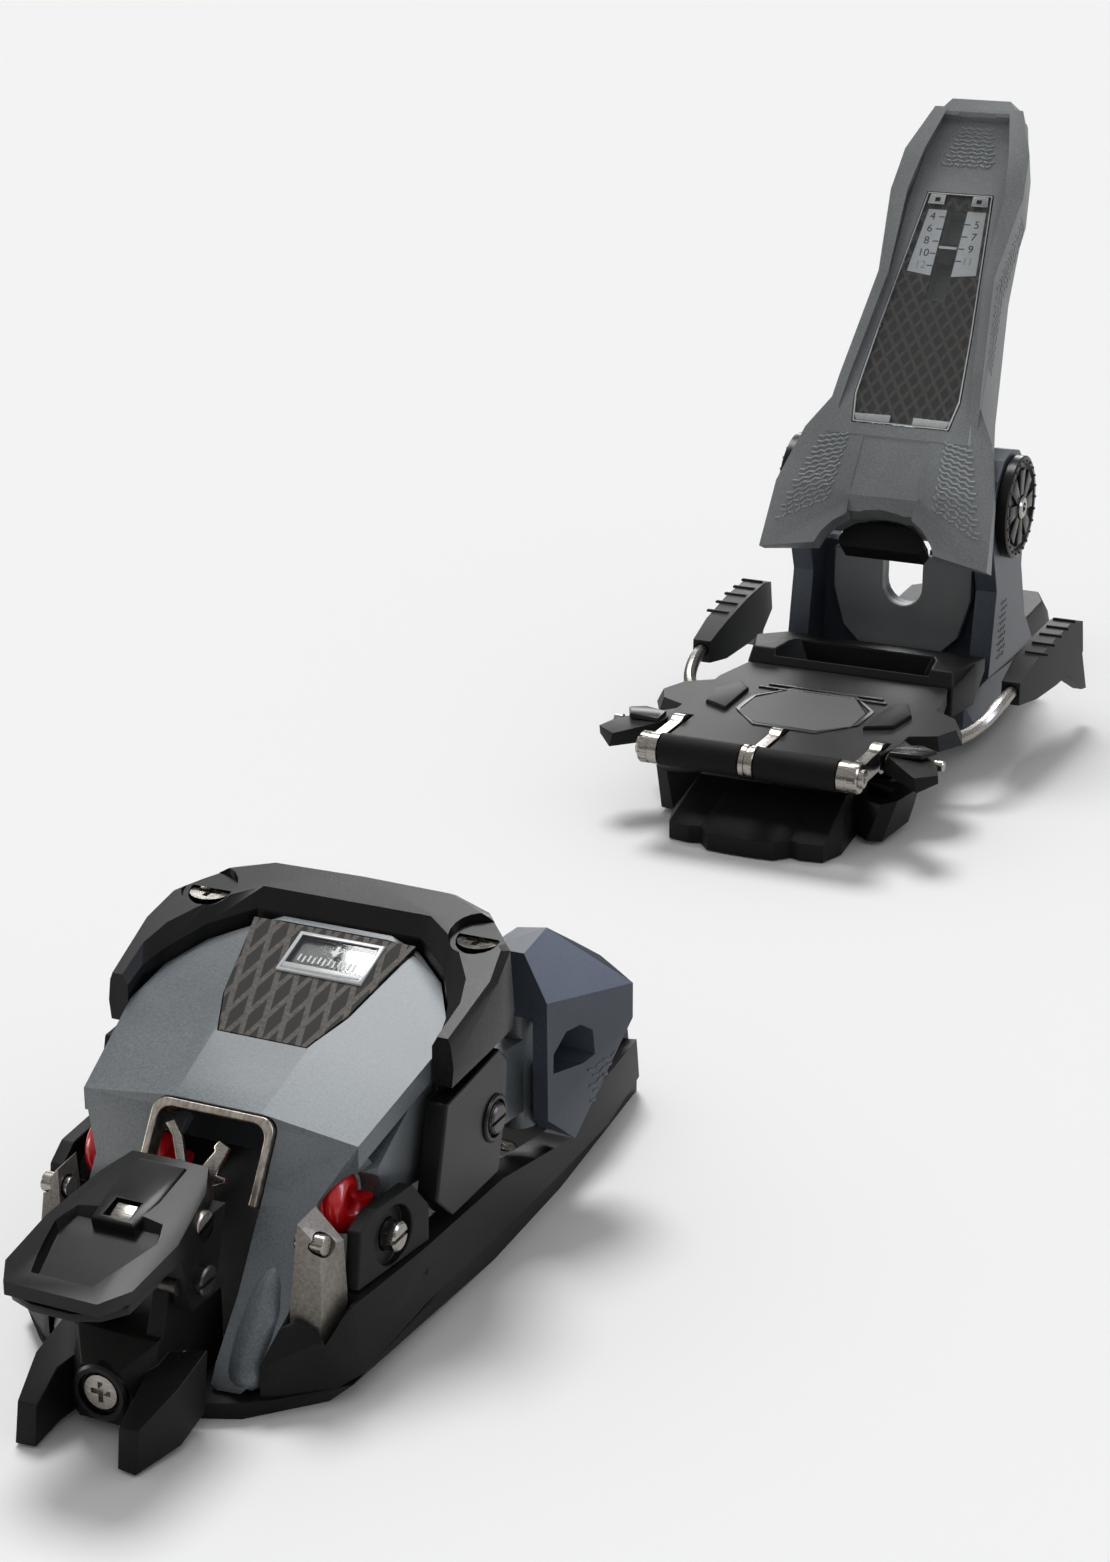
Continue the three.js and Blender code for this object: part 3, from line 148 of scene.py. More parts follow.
def start_material(name, **shader):
    """A new material with its Principled shader and Object coordinates."""
    material = bpy.data.materials.new(name)
    material.use_nodes = True
    surface = material.node_tree.nodes["Principled BSDF"]
    for socket, value in shader.items():
        surface.inputs[socket.replace("_", " ")].default_value = value
    place = add_node(material, "ShaderNodeTexCoord")
    return material, surface, place.outputs["Object"]


def connect(material, source, target):
    material.node_tree.links.new(source, target)


def per_mm(size):
    """Texture scale whose features are about size millimetres wide, for coordinates in metres."""
    return 1 / (size * MM)


# %% [markdown]
# ### Moulded and painted plastics
# The housings are glass-filled nylon, painted grey with fine metal flake. Up close the flake sparkles unevenly,
# the paint is a little lighter on worn edges, and it has the soft orange peel of sprayed paint. The black parts
# are bare nylon from a spark-eroded mould, which leaves an even fine grain. Both come from the same recipe with
# other sizes and amounts.
# %% One recipe for moulded parts
def moulded(name, main, light, grain, roughness, metallic=0.0, bump=0.08, flake=0.0, edge="#8f9294",
             wear=0.25, gloss=0.5):
    material, surface, place = start_material(name, Metallic=metallic, IOR=1.5, Specular_IOR_Level=gloss)
    drift = add_node(material, "ShaderNodeTexNoise", {"Scale": per_mm(38), "Detail": 3.0}, {"Vector": place})
    grains = add_node(material, "ShaderNodeTexNoise", {"Scale": per_mm(grain), "Detail": 4.0, "Roughness": 0.7},
                      {"Vector": place})
    both = add_node(material, "ShaderNodeMix", {"Factor": 0.6 if flake else 0.35},
                    {"A": drift.outputs["Fac"], "B": grains.outputs["Fac"]})
    tint = add_node(material, "ShaderNodeValToRGB", links={"Fac": both.outputs["Result"]})
    tint.color_ramp.elements[0].color = colour(main)
    tint.color_ramp.elements[1].color = colour(light)
    tint.color_ramp.elements[0].position = 0.42
    tint.color_ramp.elements[1].position = 0.62
    worn = add_node(material, "ShaderNodeNewGeometry")
    edge_ramp = add_node(material, "ShaderNodeMapRange", {"From Min": 0.53, "From Max": 0.6, "To Max": wear},
                         {"Value": worn.outputs["Pointiness"]})
    finished = add_node(material, "ShaderNodeMix", {"B": colour(edge)},
                        {"Factor": edge_ramp.outputs["Result"], "A": tint.outputs["Color"]}, data_type="RGBA")
    connect(material, finished.outputs["Result"], surface.inputs["Base Color"])
    rough = add_node(material, "ShaderNodeMapRange", {"To Min": roughness - 0.08, "To Max": roughness + 0.1},
                     {"Value": both.outputs["Result"]})
    connect(material, rough.outputs["Result"], surface.inputs["Roughness"])
    relief = add_node(material, "ShaderNodeBump", {"Strength": bump, "Distance": 0.2 * MM},
                      {"Height": grains.outputs["Fac"]})
    connect(material, relief.outputs["Normal"], surface.inputs["Normal"])
    return material


FLAKE_GREY = moulded("sprayed_flake_grey_nylon", "#50565a", "#6c7276", 0.45, 0.42, metallic=0.25, flake=1.0)
TOWER_GREY = moulded("sprayed_flake_tower_grey", "#66696a", "#828687", 0.45, 0.45, metallic=0.25, flake=1.0)
BLUE_GREY = moulded("moulded_blue_grey_nylon", "#39404a", "#4c545f", 0.6, 0.4, metallic=0.15, bump=0.1,
                    edge="#6a7280")
LIGHT_GREY = moulded("sprayed_light_grey_nylon", "#767b7e", "#8d9193", 0.5, 0.45, metallic=0.2, edge="#a0a3a4")
BLACK_NYLON = moulded("eroded_black_nylon", "#0e0e0d", "#1a1a19", 0.7, 0.46, bump=0.15, edge="#262524", wear=0.25,
                     gloss=0.15)
SATIN_BLACK = moulded("satin_black_nylon", "#090909", "#121211", 1.2, 0.28, bump=0.05, edge="#2a2928", wear=0.3,
                      gloss=0.2)
SOFT_BLACK = moulded("rubber_black", "#0b0b0a", "#141312", 0.9, 0.6, bump=0.2, edge="#1f1e1d", gloss=0.12)
PAD_GREY = moulded("rubber_pad_grey", "#515152", "#5c5c5d", 0.7, 0.6, bump=0.2, edge="#505051", gloss=0.3)
ARM_FLAKE = moulded("cast_bronze_grey", "#4f4b46", "#8b857c", 0.8, 0.38, metallic=0.6, bump=0.2, edge="#a19a90")
DIAL_WHITE = moulded("printed_white", "#c8c8c9", "#dededf", 1.5, 0.4, bump=0.03, edge="#e8e8e8")


# %% [markdown]
# ### Metals
# Screws, wires and pins are turned or drawn steel. Turning leaves fine rings and drawing leaves fine lines, both
# far below a millimetre, so they are drawn as stretched noise a little coarser than real, with small changes of
# roughness. Metal keeps the shader's own IOR.
# %% Steel, bare aluminium and red spring wire
def metal(name, dark, bright, roughness, stretch=(1.0, 1.0, 14.0), scratches=0.25):
    material, surface, place = start_material(name, Metallic=1.0)
    drawn = add_node(material, "ShaderNodeMapping", {"Scale": stretch}, {"Vector": place})
    lines = add_node(material, "ShaderNodeTexNoise", {"Scale": per_mm(1.6), "Detail": 5.0},
                     {"Vector": drawn.outputs["Vector"]})
    tint = add_node(material, "ShaderNodeValToRGB", links={"Fac": lines.outputs["Fac"]})
    tint.color_ramp.elements[0].color = colour(dark)
    tint.color_ramp.elements[1].color = colour(bright)
    tint.color_ramp.elements[0].position = 0.35
    tint.color_ramp.elements[1].position = 0.65
    connect(material, tint.outputs["Color"], surface.inputs["Base Color"])
    rough = add_node(material, "ShaderNodeMapRange", {"To Min": roughness - 0.06, "To Max": roughness + 0.14},
                     {"Value": lines.outputs["Fac"]})
    connect(material, rough.outputs["Result"], surface.inputs["Roughness"])
    relief = add_node(material, "ShaderNodeBump", {"Strength": scratches * 0.3, "Distance": 0.1 * MM},
                      {"Height": lines.outputs["Fac"]})
    connect(material, relief.outputs["Normal"], surface.inputs["Normal"])
    return material


STEEL = metal("turned_steel", "#86827c", "#aca79f", 0.2, scratches=0.08)
DRAWN_STEEL = metal("drawn_steel_wire", "#7f7b76", "#a5a19b", 0.24, stretch=(1.0, 8.0, 8.0), scratches=0.08)
BARE_TRIM = metal("satin_bare_aluminium", "#8f887f", "#b8b0a6", 0.32, stretch=(3.0, 1.0, 1.0))
DARK_STEEL = metal("blackened_steel", "#3c3b3a", "#5e5c5a", 0.34)


def spring_enamel():
    material, surface, place = start_material("red_spring_enamel", Roughness=0.3, IOR=1.5, Coat_Weight=0.4)
    drift = add_node(material, "ShaderNodeTexNoise", {"Scale": per_mm(2.5), "Detail": 3.0}, {"Vector": place})
    tint = add_node(material, "ShaderNodeValToRGB", links={"Fac": drift.outputs["Fac"]})
    tint.color_ramp.elements[0].color = colour("#c00812")
    tint.color_ramp.elements[1].color = colour("#e8141e")
    connect(material, tint.outputs["Color"], surface.inputs["Base Color"])
    relief = add_node(material, "ShaderNodeBump", {"Strength": 0.1, "Distance": 0.1 * MM},
                      {"Height": drift.outputs["Fac"]})
    connect(material, relief.outputs["Normal"], surface.inputs["Normal"])
    return material


RED_ENAMEL = spring_enamel()


# %% [markdown]
# ### Printed film and clear plastic
# The labels are printed film: near-black, with a quiet lattice a shade lighter. The windows over them are clear
# polycarbonate with a soft gloss; their thin bright edges are painted highlights, laid on later as pale pieces.
# %% Film with a lattice, and clear polycarbonate
def printed_film():
    material, surface, place = start_material("printed_film", IOR=1.5, Specular_IOR_Level=0.15)
    axes = add_node(material, "ShaderNodeSeparateXYZ", links={"Vector": place})
    lattice = None
    for turn in (1.0, -1.0):
        along = add_node(material, "ShaderNodeMath", {1: turn * 1.25}, {0: axes.outputs["X"]}, operation="MULTIPLY")
        summed = add_node(material, "ShaderNodeMath", links={0: along.outputs[0], 1: axes.outputs["Z"]})
        saw = add_node(material, "ShaderNodeMath", {1: 2.6 * MM}, {0: summed.outputs[0]}, operation="PINGPONG")
        line = add_node(material, "ShaderNodeMath", {1: 0.75 * MM}, {0: saw.outputs[0]}, operation="LESS_THAN")
        if lattice is None:
            lattice = line
        else:
            lattice = add_node(material, "ShaderNodeMath", links={0: lattice.outputs[0], 1: line.outputs[0]},
                               operation="MAXIMUM")
    speckle = add_node(material, "ShaderNodeTexNoise", {"Scale": per_mm(0.8)}, {"Vector": place})
    amount = add_node(material, "ShaderNodeMath", links={0: lattice.outputs[0], 1: speckle.outputs["Fac"]},
                      operation="MULTIPLY")
    tint = add_node(material, "ShaderNodeMix", {"A": colour("#1b1816"), "B": colour("#645d56")},
                    {"Factor": amount.outputs[0]}, data_type="RGBA")
    connect(material, tint.outputs["Result"], surface.inputs["Base Color"])
    rough = add_node(material, "ShaderNodeMapRange", {"To Min": 0.5, "To Max": 0.32}, {"Value": amount.outputs[0]})
    connect(material, rough.outputs["Result"], surface.inputs["Roughness"])
    relief = add_node(material, "ShaderNodeBump", {"Strength": 0.15, "Distance": 0.1 * MM},
                      {"Height": lattice.outputs[0]})
    connect(material, relief.outputs["Normal"], surface.inputs["Normal"])
    return material


def clear_plastic():
    material, surface, place = start_material("clear_polycarbonate", IOR=1.45, Transmission_Weight=1.0,
                                              Specular_IOR_Level=0.12)
    surface.inputs["Base Color"].default_value = colour("#f2f5f5")
    smear = add_node(material, "ShaderNodeTexNoise", {"Scale": per_mm(14)}, {"Vector": place})
    rough = add_node(material, "ShaderNodeMapRange", {"To Min": 0.01, "To Max": 0.06},
                     {"Value": smear.outputs["Fac"]})
    connect(material, rough.outputs["Result"], surface.inputs["Roughness"])
    relief = add_node(material, "ShaderNodeBump", {"Strength": 0.02, "Distance": 0.1 * MM},
                      {"Height": smear.outputs["Fac"]})
    connect(material, relief.outputs["Normal"], surface.inputs["Normal"])
    return material


FILM = printed_film()
CLEAR = clear_plastic()
print("materials", len(bpy.data.materials))

# %% [markdown]
# ## Dressing the solids
# The frame's solids have sharp edges, and real moulded parts don't: every edge has a radius of some tenths of a
# millimetre, and that thin highlight is what makes a part look made. A solid from the frame keeps its own mesh,
# so the radius is a live Bevel modifier, after a Weld that joins its loose triangles and a planar Decimate that
# makes whole faces of them.
# %% Bevel and paint each solid
def dress(node, material, radius, angle=22):
    obj = frame["nodes"][node]
    obj.data.materials.clear()
    obj.data.materials.append(material)
    make_active(obj)
    bpy.ops.object.shade_smooth()
    weld = obj.modifiers.new("Weld", "WELD")
    weld.merge_threshold = 0.004 * MM
    flat = obj.modifiers.new("Flat", "DECIMATE")
    flat.decimate_type = "DISSOLVE"
    flat.angle_limit = math.radians(0.6)
    bevel = obj.modifiers.new("Radius", "BEVEL")
    bevel.width = radius * MM
    bevel.segments = 2
    bevel.limit_method = "ANGLE"
    bevel.angle_limit = math.radians(angle)
    bevel.harden_normals = True
    even = obj.modifiers.new("Shading", "WEIGHTED_NORMAL")
    even.keep_sharp = True


DRESSES = {
    FLAKE_GREY: {"toe_housing": 0.7},
    TOWER_GREY: {"heel_housing": 0.8},
    BLUE_GREY: {"wing_left": 0.7, "wing_right": 0.7, "heel_stand": 0.8},
    LIGHT_GREY: {"inner_plate": 0.5},
    BLACK_NYLON: {"toe_base_plate": 0.6, "toe_nose": 0.5, "side_lug_left": 0.5, "side_lug_right": 0.5,
                  "heel_rail": 0.4, "heel_front_plate": 0.5, "heel_tail": 0.8, "heel_tray": 0.6,
                  "brake_pedal": 0.5, "brake_tip_left": 0.7, "brake_tip_right": 0.7},
    SATIN_BLACK: {"toe_arch": 0.6, "tech_lever": 0.6, "side_latch_left": 0.6, "side_latch_right": 0.6,
                  "pivot_disc_left": 0.4, "pivot_disc_right": 0.4, "force_slider": 0.2},
    SOFT_BLACK: {"toe_glide_plate": 0.5, "heel_pad": 0.6, "roller_left": 0.4, "roller_right": 0.4},
    PAD_GREY: {"glide_pad": 0.3},
    STEEL: {"arch_screw_left": 0.15, "arch_screw_right": 0.15, "front_screw": 0.15, "toe_screw_left": 0.15,
            "toe_screw_right": 0.15, "lever_latch": 0.3, "steel_fork": 0.3, "tech_pin_left": 0.3,
            "tech_pin_right": 0.3, "side_bolt_left": 0.3, "side_bolt_right": 0.3, "length_screw": 0.2,
            "pivot_axle": 0.3, "bail": 0.3, "bail_pin": 0.3},
    DARK_STEEL: {"latch_pin_left": 0.3, "latch_pin_right": 0.3},
    DRAWN_STEEL: {"brake_wire_left": 0.1, "brake_wire_right": 0.1},
    BARE_TRIM: {"toe_opening_trim": 0.3, "lever_axle": 0.3},
    ARM_FLAKE: {"tech_arm_left": 0.4, "tech_arm_right": 0.4},
    RED_ENAMEL: {"coil_left": 0.1, "coil_right": 0.1},
    FILM: {"toe_label": 0.15, "heel_label": 0.15},
    CLEAR: {"toe_window": 0.2, "heel_lens": 0.3},
    DIAL_WHITE: {"toe_indicator": 0.2},
}
for finish, radii in DRESSES.items():
    for node_name, radius in radii.items():
        dress(node_name, finish, radius)
print("dressed", sum(len(radii) for radii in DRESSES.values()), "solids")

# %% [markdown]
# ## Makers for the small pieces
# Most small parts of a binding are either turned, such as screws, nuts and bolts, or stamped and moulded flat,
# such as plates and ribs. So there are two makers. A turned part starts as a disc that is extruded upwards and
# scaled at each step, as a lathe tool follows a profile. A plate starts as an outline that is extruded once, and
# then its upper edge is bevelled.
# %% Turned parts and plates
def turned(profile, sides=32):
    """profile is a list of (radius, height) in millimetres from the bottom to the top, along local z."""
    clear_selection()
    radius, height = profile[0]
    bpy.ops.mesh.primitive_circle_add(vertices=sides, radius=radius * MM, fill_type="NGON",
                                      location=(0, 0, height * MM))
    obj = bpy.context.object
    bpy.ops.object.transform_apply(location=True)
    bpy.ops.object.mode_set(mode="EDIT")
    bpy.ops.mesh.select_all(action="SELECT")
    for next_radius, next_height in profile[1:]:
        bpy.ops.mesh.extrude_region_move(TRANSFORM_OT_translate={"value": (0, 0, (next_height - height) * MM)})
        factor = next_radius / radius
        bpy.ops.transform.resize(value=(factor, factor, 1), center_override=(0, 0, next_height * MM))
        radius, height = next_radius, next_height
    bpy.ops.mesh.select_all(action="SELECT")
    bpy.ops.mesh.normals_make_consistent(inside=False)
    bpy.ops.object.mode_set(mode="OBJECT")
    return obj


def plate(outline, height, radius=0.2):
    """outline is a list of (x, y) in millimetres; the plate stands on local z = 0."""
    clear_selection()
    bpy.ops.mesh.primitive_circle_add(vertices=len(outline), fill_type="NGON")
    obj = bpy.context.object
    for vertex, (x, y) in zip(obj.data.vertices, outline):
        vertex.co = Vector((x, y, 0)) * MM
    bpy.ops.object.mode_set(mode="EDIT")
    bpy.ops.mesh.select_all(action="SELECT")
    bpy.ops.mesh.extrude_region_move(TRANSFORM_OT_translate={"value": (0, 0, height * MM)})
    if radius:
        bpy.ops.mesh.bevel(offset=radius * MM, segments=2, affect="EDGES")
    bpy.ops.mesh.select_all(action="SELECT")
    bpy.ops.mesh.normals_make_consistent(inside=False)
    bpy.ops.object.mode_set(mode="OBJECT")
    return obj


def notch(obj, tool):
    """Cuts a tool out of a piece and clears the tool away."""
    make_active(tool)
    bpy.ops.object.transform_apply(location=True, rotation=True, scale=True)
    apply_modifier(obj, "BOOLEAN", object=tool, operation="DIFFERENCE", solver="EXACT")
    bpy.data.objects.remove(tool)


def copies(obj, places):
    """A copy of obj, with its own mesh, at each matrix, joined into one piece."""
    made = []
    for place in places:
        one = obj.copy()
        one.data = obj.data.copy()
        bpy.context.collection.objects.link(one)
        one.matrix_world = place
        made.append(one)
    bpy.data.objects.remove(obj)
    clear_selection()
    for one in made:
        one.select_set(True)
    bpy.context.view_layer.objects.active = made[0]
    bpy.ops.object.join()
    return bpy.context.object


def rectangle(x0, x1, y0, y1):
    return [(x0, y0), (x1, y0), (x1, y1), (x0, y1)]


def shifted(x, y, z):
    return Matrix.Translation(Vector((x, y, z)) * MM)


# %% [markdown]
# ## Moulded grip patches
# Where a glove or a boot grips, the mould has a woven patch: short raised ridges in a zigzag. Each ridge is one
# small bevelled bar. The bars are dropped onto the solid along a straight line, and each one turns to lie flat
# on the face that it meets, so the patch follows the faces without being drawn on them.
# %% Drop ridges onto a solid
def grip_patch(name, node, corners, drop, rows, columns, size, body, material, zigzag=24):
    """corners: low left, low right, high right and high left, in metres, in front of the solid."""
    low_left, low_right, high_right, high_left = (Vector(corner) for corner in corners)
    solid = frame["nodes"][node]
    length, width, height = size
    ridge = plate(rectangle(-length / 2, length / 2, -width / 2, width / 2), height, width * 0.3)
    places = []
    for row in range(rows):
        share = (row + 0.5) / rows
        left = low_left.lerp(high_left, share)
        right = low_right.lerp(high_right, share)
        for column in range(columns):
            at = left.lerp(right, (column + 0.25 + 0.5 * (row % 2)) / columns)
            hit, point, normal, _ = solid.ray_cast(at, Vector(drop).normalized())
            if not hit:
                continue
            across = (right - left).normalized()
            flat = frame_at(point - normal * 0.1 * MM, across - normal * across.dot(normal), normal.cross(across))
            turn = zigzag if column % 2 else -zigzag
            places.append(flat @ Matrix.Rotation(math.radians(turn), 4, "Z"))
    patch = copies(ridge, places)
    print(name, len(places), "ridges")
    return settle(patch, name, body, material)


# %% [markdown]
# ## The heel tower
# The tower leans back. Its own axes come from the frame: the pivot from the axle's box, and the way up the tower
# from the joint of the release slider. A piece is drawn flat, x across and y up the tower, and then carried to
# the face.
# %% The tower's own axes
pivot = middle("pivot_axle")
TOWER_UP = Vector(next(j["axis"] for j in frame["joints"] if j["name"] == "force_set")).normalized()
TOWER_OUT = Vector((1, 0, 0)).cross(TOWER_UP)


def on_tower(out, x=0.0, up=0.0):
    """Flat pieces on the tower, out millimetres in front of the pivot."""
    origin = pivot + (TOWER_OUT * out + TOWER_UP * up + Vector((x, 0, 0))) * MM
    return frame_at(origin, (1, 0, 0), TOWER_UP)


def tower_point(x, out, up):
    return pivot + (Vector((x, 0, 0)) + TOWER_OUT * out + TOWER_UP * up) * MM


LENS_FRONT = 21.0      # the lens's outer face, in front of the pivot
LABEL_FRONT = 19.1     # the label's outer face under it
SLOT_HALF = 3.2
PLATE_LOW, PLATE_HIGH = 62.0, 84.0
print("tower leans", round(math.degrees(math.asin(TOWER_UP.z)), 1), "degrees up from level")

# %% [markdown]
# ### Release scale
# Two pale plates beside the slot carry the release values, even ones on one side and odd ones on the other, with
# a tick for each. A black slider moves between them with a white pointer line.
# %% Plates, ticks and numbers
for side_name, side in SIDES:
    near, low_far, high_far = side * SLOT_HALF, side * 10.6, side * 8.8
    shape = [(near, PLATE_LOW), (low_far, PLATE_LOW + 1), (high_far, PLATE_HIGH), (near, PLATE_HIGH)]
    settle(plate(shape, 0.12, 0), f"scale_plate_{side_name}", "tower", DIAL_WHITE, on_tower(LABEL_FRONT))

INK = moulded("printed_black_ink", "#161616", "#242424", 1.0, 0.4, bump=0.02, wear=0.0)
FAINT_INK = moulded("printed_grey_ink", "#9a9a9b", "#a8a8a9", 1.0, 0.4, bump=0.02, wear=0.0)


def number(text, size, name, place, material):
    clear_selection()
    bpy.ops.object.text_add()
    obj = bpy.context.object
    obj.data.body = text
    obj.data.size = size * MM
    obj.data.extrude = 0.03 * MM
    obj.data.align_x = "CENTER"
    obj.data.align_y = "CENTER"
    bpy.ops.object.convert(target="MESH")
    return settle(bpy.context.object, name, "tower", material, place)


STEP = 4.1
for side, values in ((-1, (4, 6, 8, 10, 12)), (1, (5, 7, 9, 11))):
    first = PLATE_HIGH - (2.4 if side < 0 else 4.4)
    for row, value in enumerate(values):
        ink = FAINT_INK if value > 10 else INK
        number(str(value), 3.5, f"scale_number_{value}",
               on_tower(LABEL_FRONT + 0.15, side * 7.0, first - STEP * row), ink)
tick = plate(rectangle(-0.9, 0.9, -0.16, 0.16), 0.1, 0)
tick_places = [on_tower(LABEL_FRONT + 0.1, side * (SLOT_HALF + 1.0), PLATE_HIGH - first - STEP * row)
               for side, first, rows in ((-1, 2.4, 5), (1, 4.4, 4)) for row in range(rows)]
settle(copies(tick, tick_places), "scale_ticks", "tower", INK)
pointer = plate([(-2.6, -0.3), (2.6, -0.3), (2.9, 0.3), (2.6, 0.5), (-2.6, 0.5), (-2.9, 0.3)], 0.12, 0)
settle(pointer, "slider_pointer", "slider", DIAL_WHITE, on_tower(LABEL_FRONT + 0.05, 0, 71.4))

# %% [markdown]
# ### Lens ends
# The clear lens is held at both ends by frosted tabs with a slot between them. A thin pale ring round its edge is a
# painted highlight: the light that comes out of the plastic's edge, painted on as a part.
# %% Tabs and painted edge highlight
FROSTED = moulded("frosted_polycarbonate", "#6f7172", "#a9acad", 0.6, 0.25, bump=0.3, edge="#d5d8d8", wear=0.6)
# This material is painted light: a pale grey, nearly white on its edges, standing in for the glint along clear
# plastic's edges.
PAINTED_EDGE_HIGHLIGHT = moulded("painted_highlight_plastic_edge", "#8d9193", "#b6babb", 1.0, 0.2, bump=0.02, edge="#e4e7e7", wear=0.5)
for side_name, side in SIDES:
    tab = plate([(side * 3.5, 12.6), (side * 13.6, 12.6), (side * 14.6, 14.6), (side * 3.5, 14.8)], 0.25, 0.08)
    settle(tab, f"lens_tab_{side_name}", "tower", FROSTED, on_tower(LENS_FRONT))
    cap = plate([(side * 4.2, 85.2), (side * 9.2, 85.2), (side * 8.8, 88.4), (side * 4.2, 88.4)], 0.25, 0.08)
    notch_tool = plate(rectangle(*sorted((side * 5.6, side * 7.2)), 85.9, 87.4), 2, 0)
    notch_tool.location.z = -0.5 * MM
    notch(cap, notch_tool)
    settle(cap, f"lens_cap_{side_name}", "tower", FROSTED, on_tower(LENS_FRONT))
# A thin pale ring laid on the lens's outline: a painted highlight along its edge, not a real part.
edge = [(-14.5, 12.1), (14.5, 12.1), (15.9, 21), (14.4, 42), (9.9, 88.9), (-9.9, 88.9), (-14.4, 42), (-15.9, 21)]
line = plate(edge, 0.18, 0)
inner_edge = [(x * 0.975, 50.5 + (y - 50.5) * 0.992) for x, y in edge]
inner_tool = plate(inner_edge, 2, 0)
inner_tool.location.z = -0.5 * MM
notch(line, inner_tool)
settle(line, "lens_edge_painted_highlight", "tower", PAINTED_EDGE_HIGHLIGHT, on_tower(LENS_FRONT))

# %% Grip patches of the tower
for side_name, side in SIDES:
    ends = [tower_point(side * x, 60, up) for x, up in ((15.5, -13), (31, -21), (22.5, 7), (14.8, 8.5))]
    if side < 0:
        ends = [ends[1], ends[0], ends[3], ends[2]]
    grip_patch(f"skirt_grip_{side_name}", "heel_housing", ends, -TOWER_OUT, 15, 8, (1.9, 0.7, 0.42), "tower",
               LIGHT_GREY)
ends = [tower_point(x, 60, up) for x, up in ((-8, 98), (8, 98), (5, 112), (-5, 112))]
grip_patch("thumb_grip", "heel_housing", ends, -TOWER_OUT, 10, 8, (1.7, 0.6, 0.42), "tower", LIGHT_GREY)
ends = [tower_point(60, out, up) for out, up in ((14, 34), (19, 34), (20, 84), (12, 84))]
grip_patch("side_grip", "heel_housing", ends, (-1, 0, 0), 34, 4, (1.5, 0.6, 0.3), "tower", TOWER_GREY)

# %% [markdown]
# ### Pivot discs
# Each disc is a moulded wheel: a rim, eight spokes, a ring of small dark studs and a bright star screw.
# %% Rim, spokes, studs and star screw
disc_low, disc_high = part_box("pivot_disc_left")
DISC_R = (disc_high.z - disc_low.z) / 2 / MM
for side_name, side in SIDES:
    low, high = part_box(f"pivot_disc_{side_name}")
    face = high.x if side > 0 else low.x
    centre = Vector((face, (low.y + high.y) / 2, (low.z + high.z) / 2))
    outward = frame_at(centre, (0, side, 0), (0, 0, 1))
    rim = turned([(DISC_R, -0.6), (DISC_R, 0.5), (DISC_R - 0.8, 0.9), (DISC_R - 2.0, 0.9), (DISC_R - 2.6, -0.2)], 48)
    settle(rim, f"disc_rim_{side_name}", "carriage", SATIN_BLACK, outward)
    spoke = plate([(3.5, -1.5), (11.2, -2.6), (11.2, 2.6), (3.5, 1.5)], 0.9, 0.3)
    turns = [outward @ Matrix.Rotation(math.radians(45 * i), 4, "Z") for i in range(8)]
    settle(copies(spoke, turns), f"disc_spokes_{side_name}", "carriage", SATIN_BLACK)
    stud = turned([(0.42, 0.6), (0.42, 1.15), (0.25, 1.3)], 8)
    ring = [outward @ Matrix.Rotation(math.radians(15 * i), 4, "Z") @ shifted(DISC_R - 1.4, 0, 0) for i in range(24)]
    settle(copies(stud, ring), f"disc_studs_{side_name}", "carriage", INK)
    head = turned([(3.4, 0), (3.4, 1.2), (2.8, 1.7), (1.5, 1.7), (1.3, 0.9)], 12)
    star = plate([(r * math.cos(a), r * math.sin(a)) for i in range(12)
                  for a, r in ((math.pi * i / 6, 1.9 if i % 2 else 1.1),)], 2, 0)
    star.location.z = 1.0 * MM
    notch(head, star)
    settle(head, f"disc_screw_{side_name}", "carriage", STEEL, outward)
print("discs", round(DISC_R, 1), "mm in radius")

# %% [markdown]
# ## The roller frame and the pedal
# The rollers turn on a steel axle with knurled nuts at its ends and a pair of collars in the middle.
# %% Nuts and collars
roller_low, roller_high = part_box("roller_left")
axle = (roller_low + roller_high) / 2
ROLLER_END = roller_high.x / MM
across = frame_at((0, axle.y, axle.z), (0, 1, 0), (0, 0, 1))
NUT = [(4.3, 0), (4.3, 2.2), (3.6, 2.3), (3.6, 2.8), (4.3, 2.9), (4.3, 5.2), (3.9, 5.6), (2.6, 5.6), (2.4, 6.6),
       (1.2, 6.6), (1.0, 5.8)]
for side_name, side in SIDES:
    nut = turned(NUT, 28)
    tooth = plate(rectangle(3.9, 5, -0.22, 0.22), 2.4, 0)
    teeth = copies(tooth, [Matrix.Rotation(math.radians(30 * i), 4, "Z") @ shifted(0, 0, 3.0) for i in range(12)])
    notch(nut, teeth)
    ends_x = Vector((side * (ROLLER_END + 0.3) * MM, axle.y, axle.z))
    settle(nut, f"bail_nut_{side_name}", "bail_frame", STEEL, frame_at(ends_x, (0, side, 0), (0, 0, 1)))
collar = turned([(4.3, -2.0), (4.6, -1.8), (4.6, -0.5), (3.9, -0.4), (3.9, 0.4), (4.6, 0.5), (4.6, 1.8),
                 (4.3, 2.0)], 32)
settle(collar, "bail_collar", "bail_frame", STEEL, across)

# %% [markdown]
# The pedal's grey pad sits in a shallow octagonal frame, with wedge blocks round it that lead snow away.
# %% Pad frame and wedge blocks
pad_low, pad_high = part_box("glide_pad")
pad = (pad_low + pad_high) / 2
pedal_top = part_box("brake_pedal")[1].z
PAD_X = (pad_high.x - pad_low.x) / 2 / MM
PAD_Y = (pad_high.y - pad_low.y) / 2 / MM


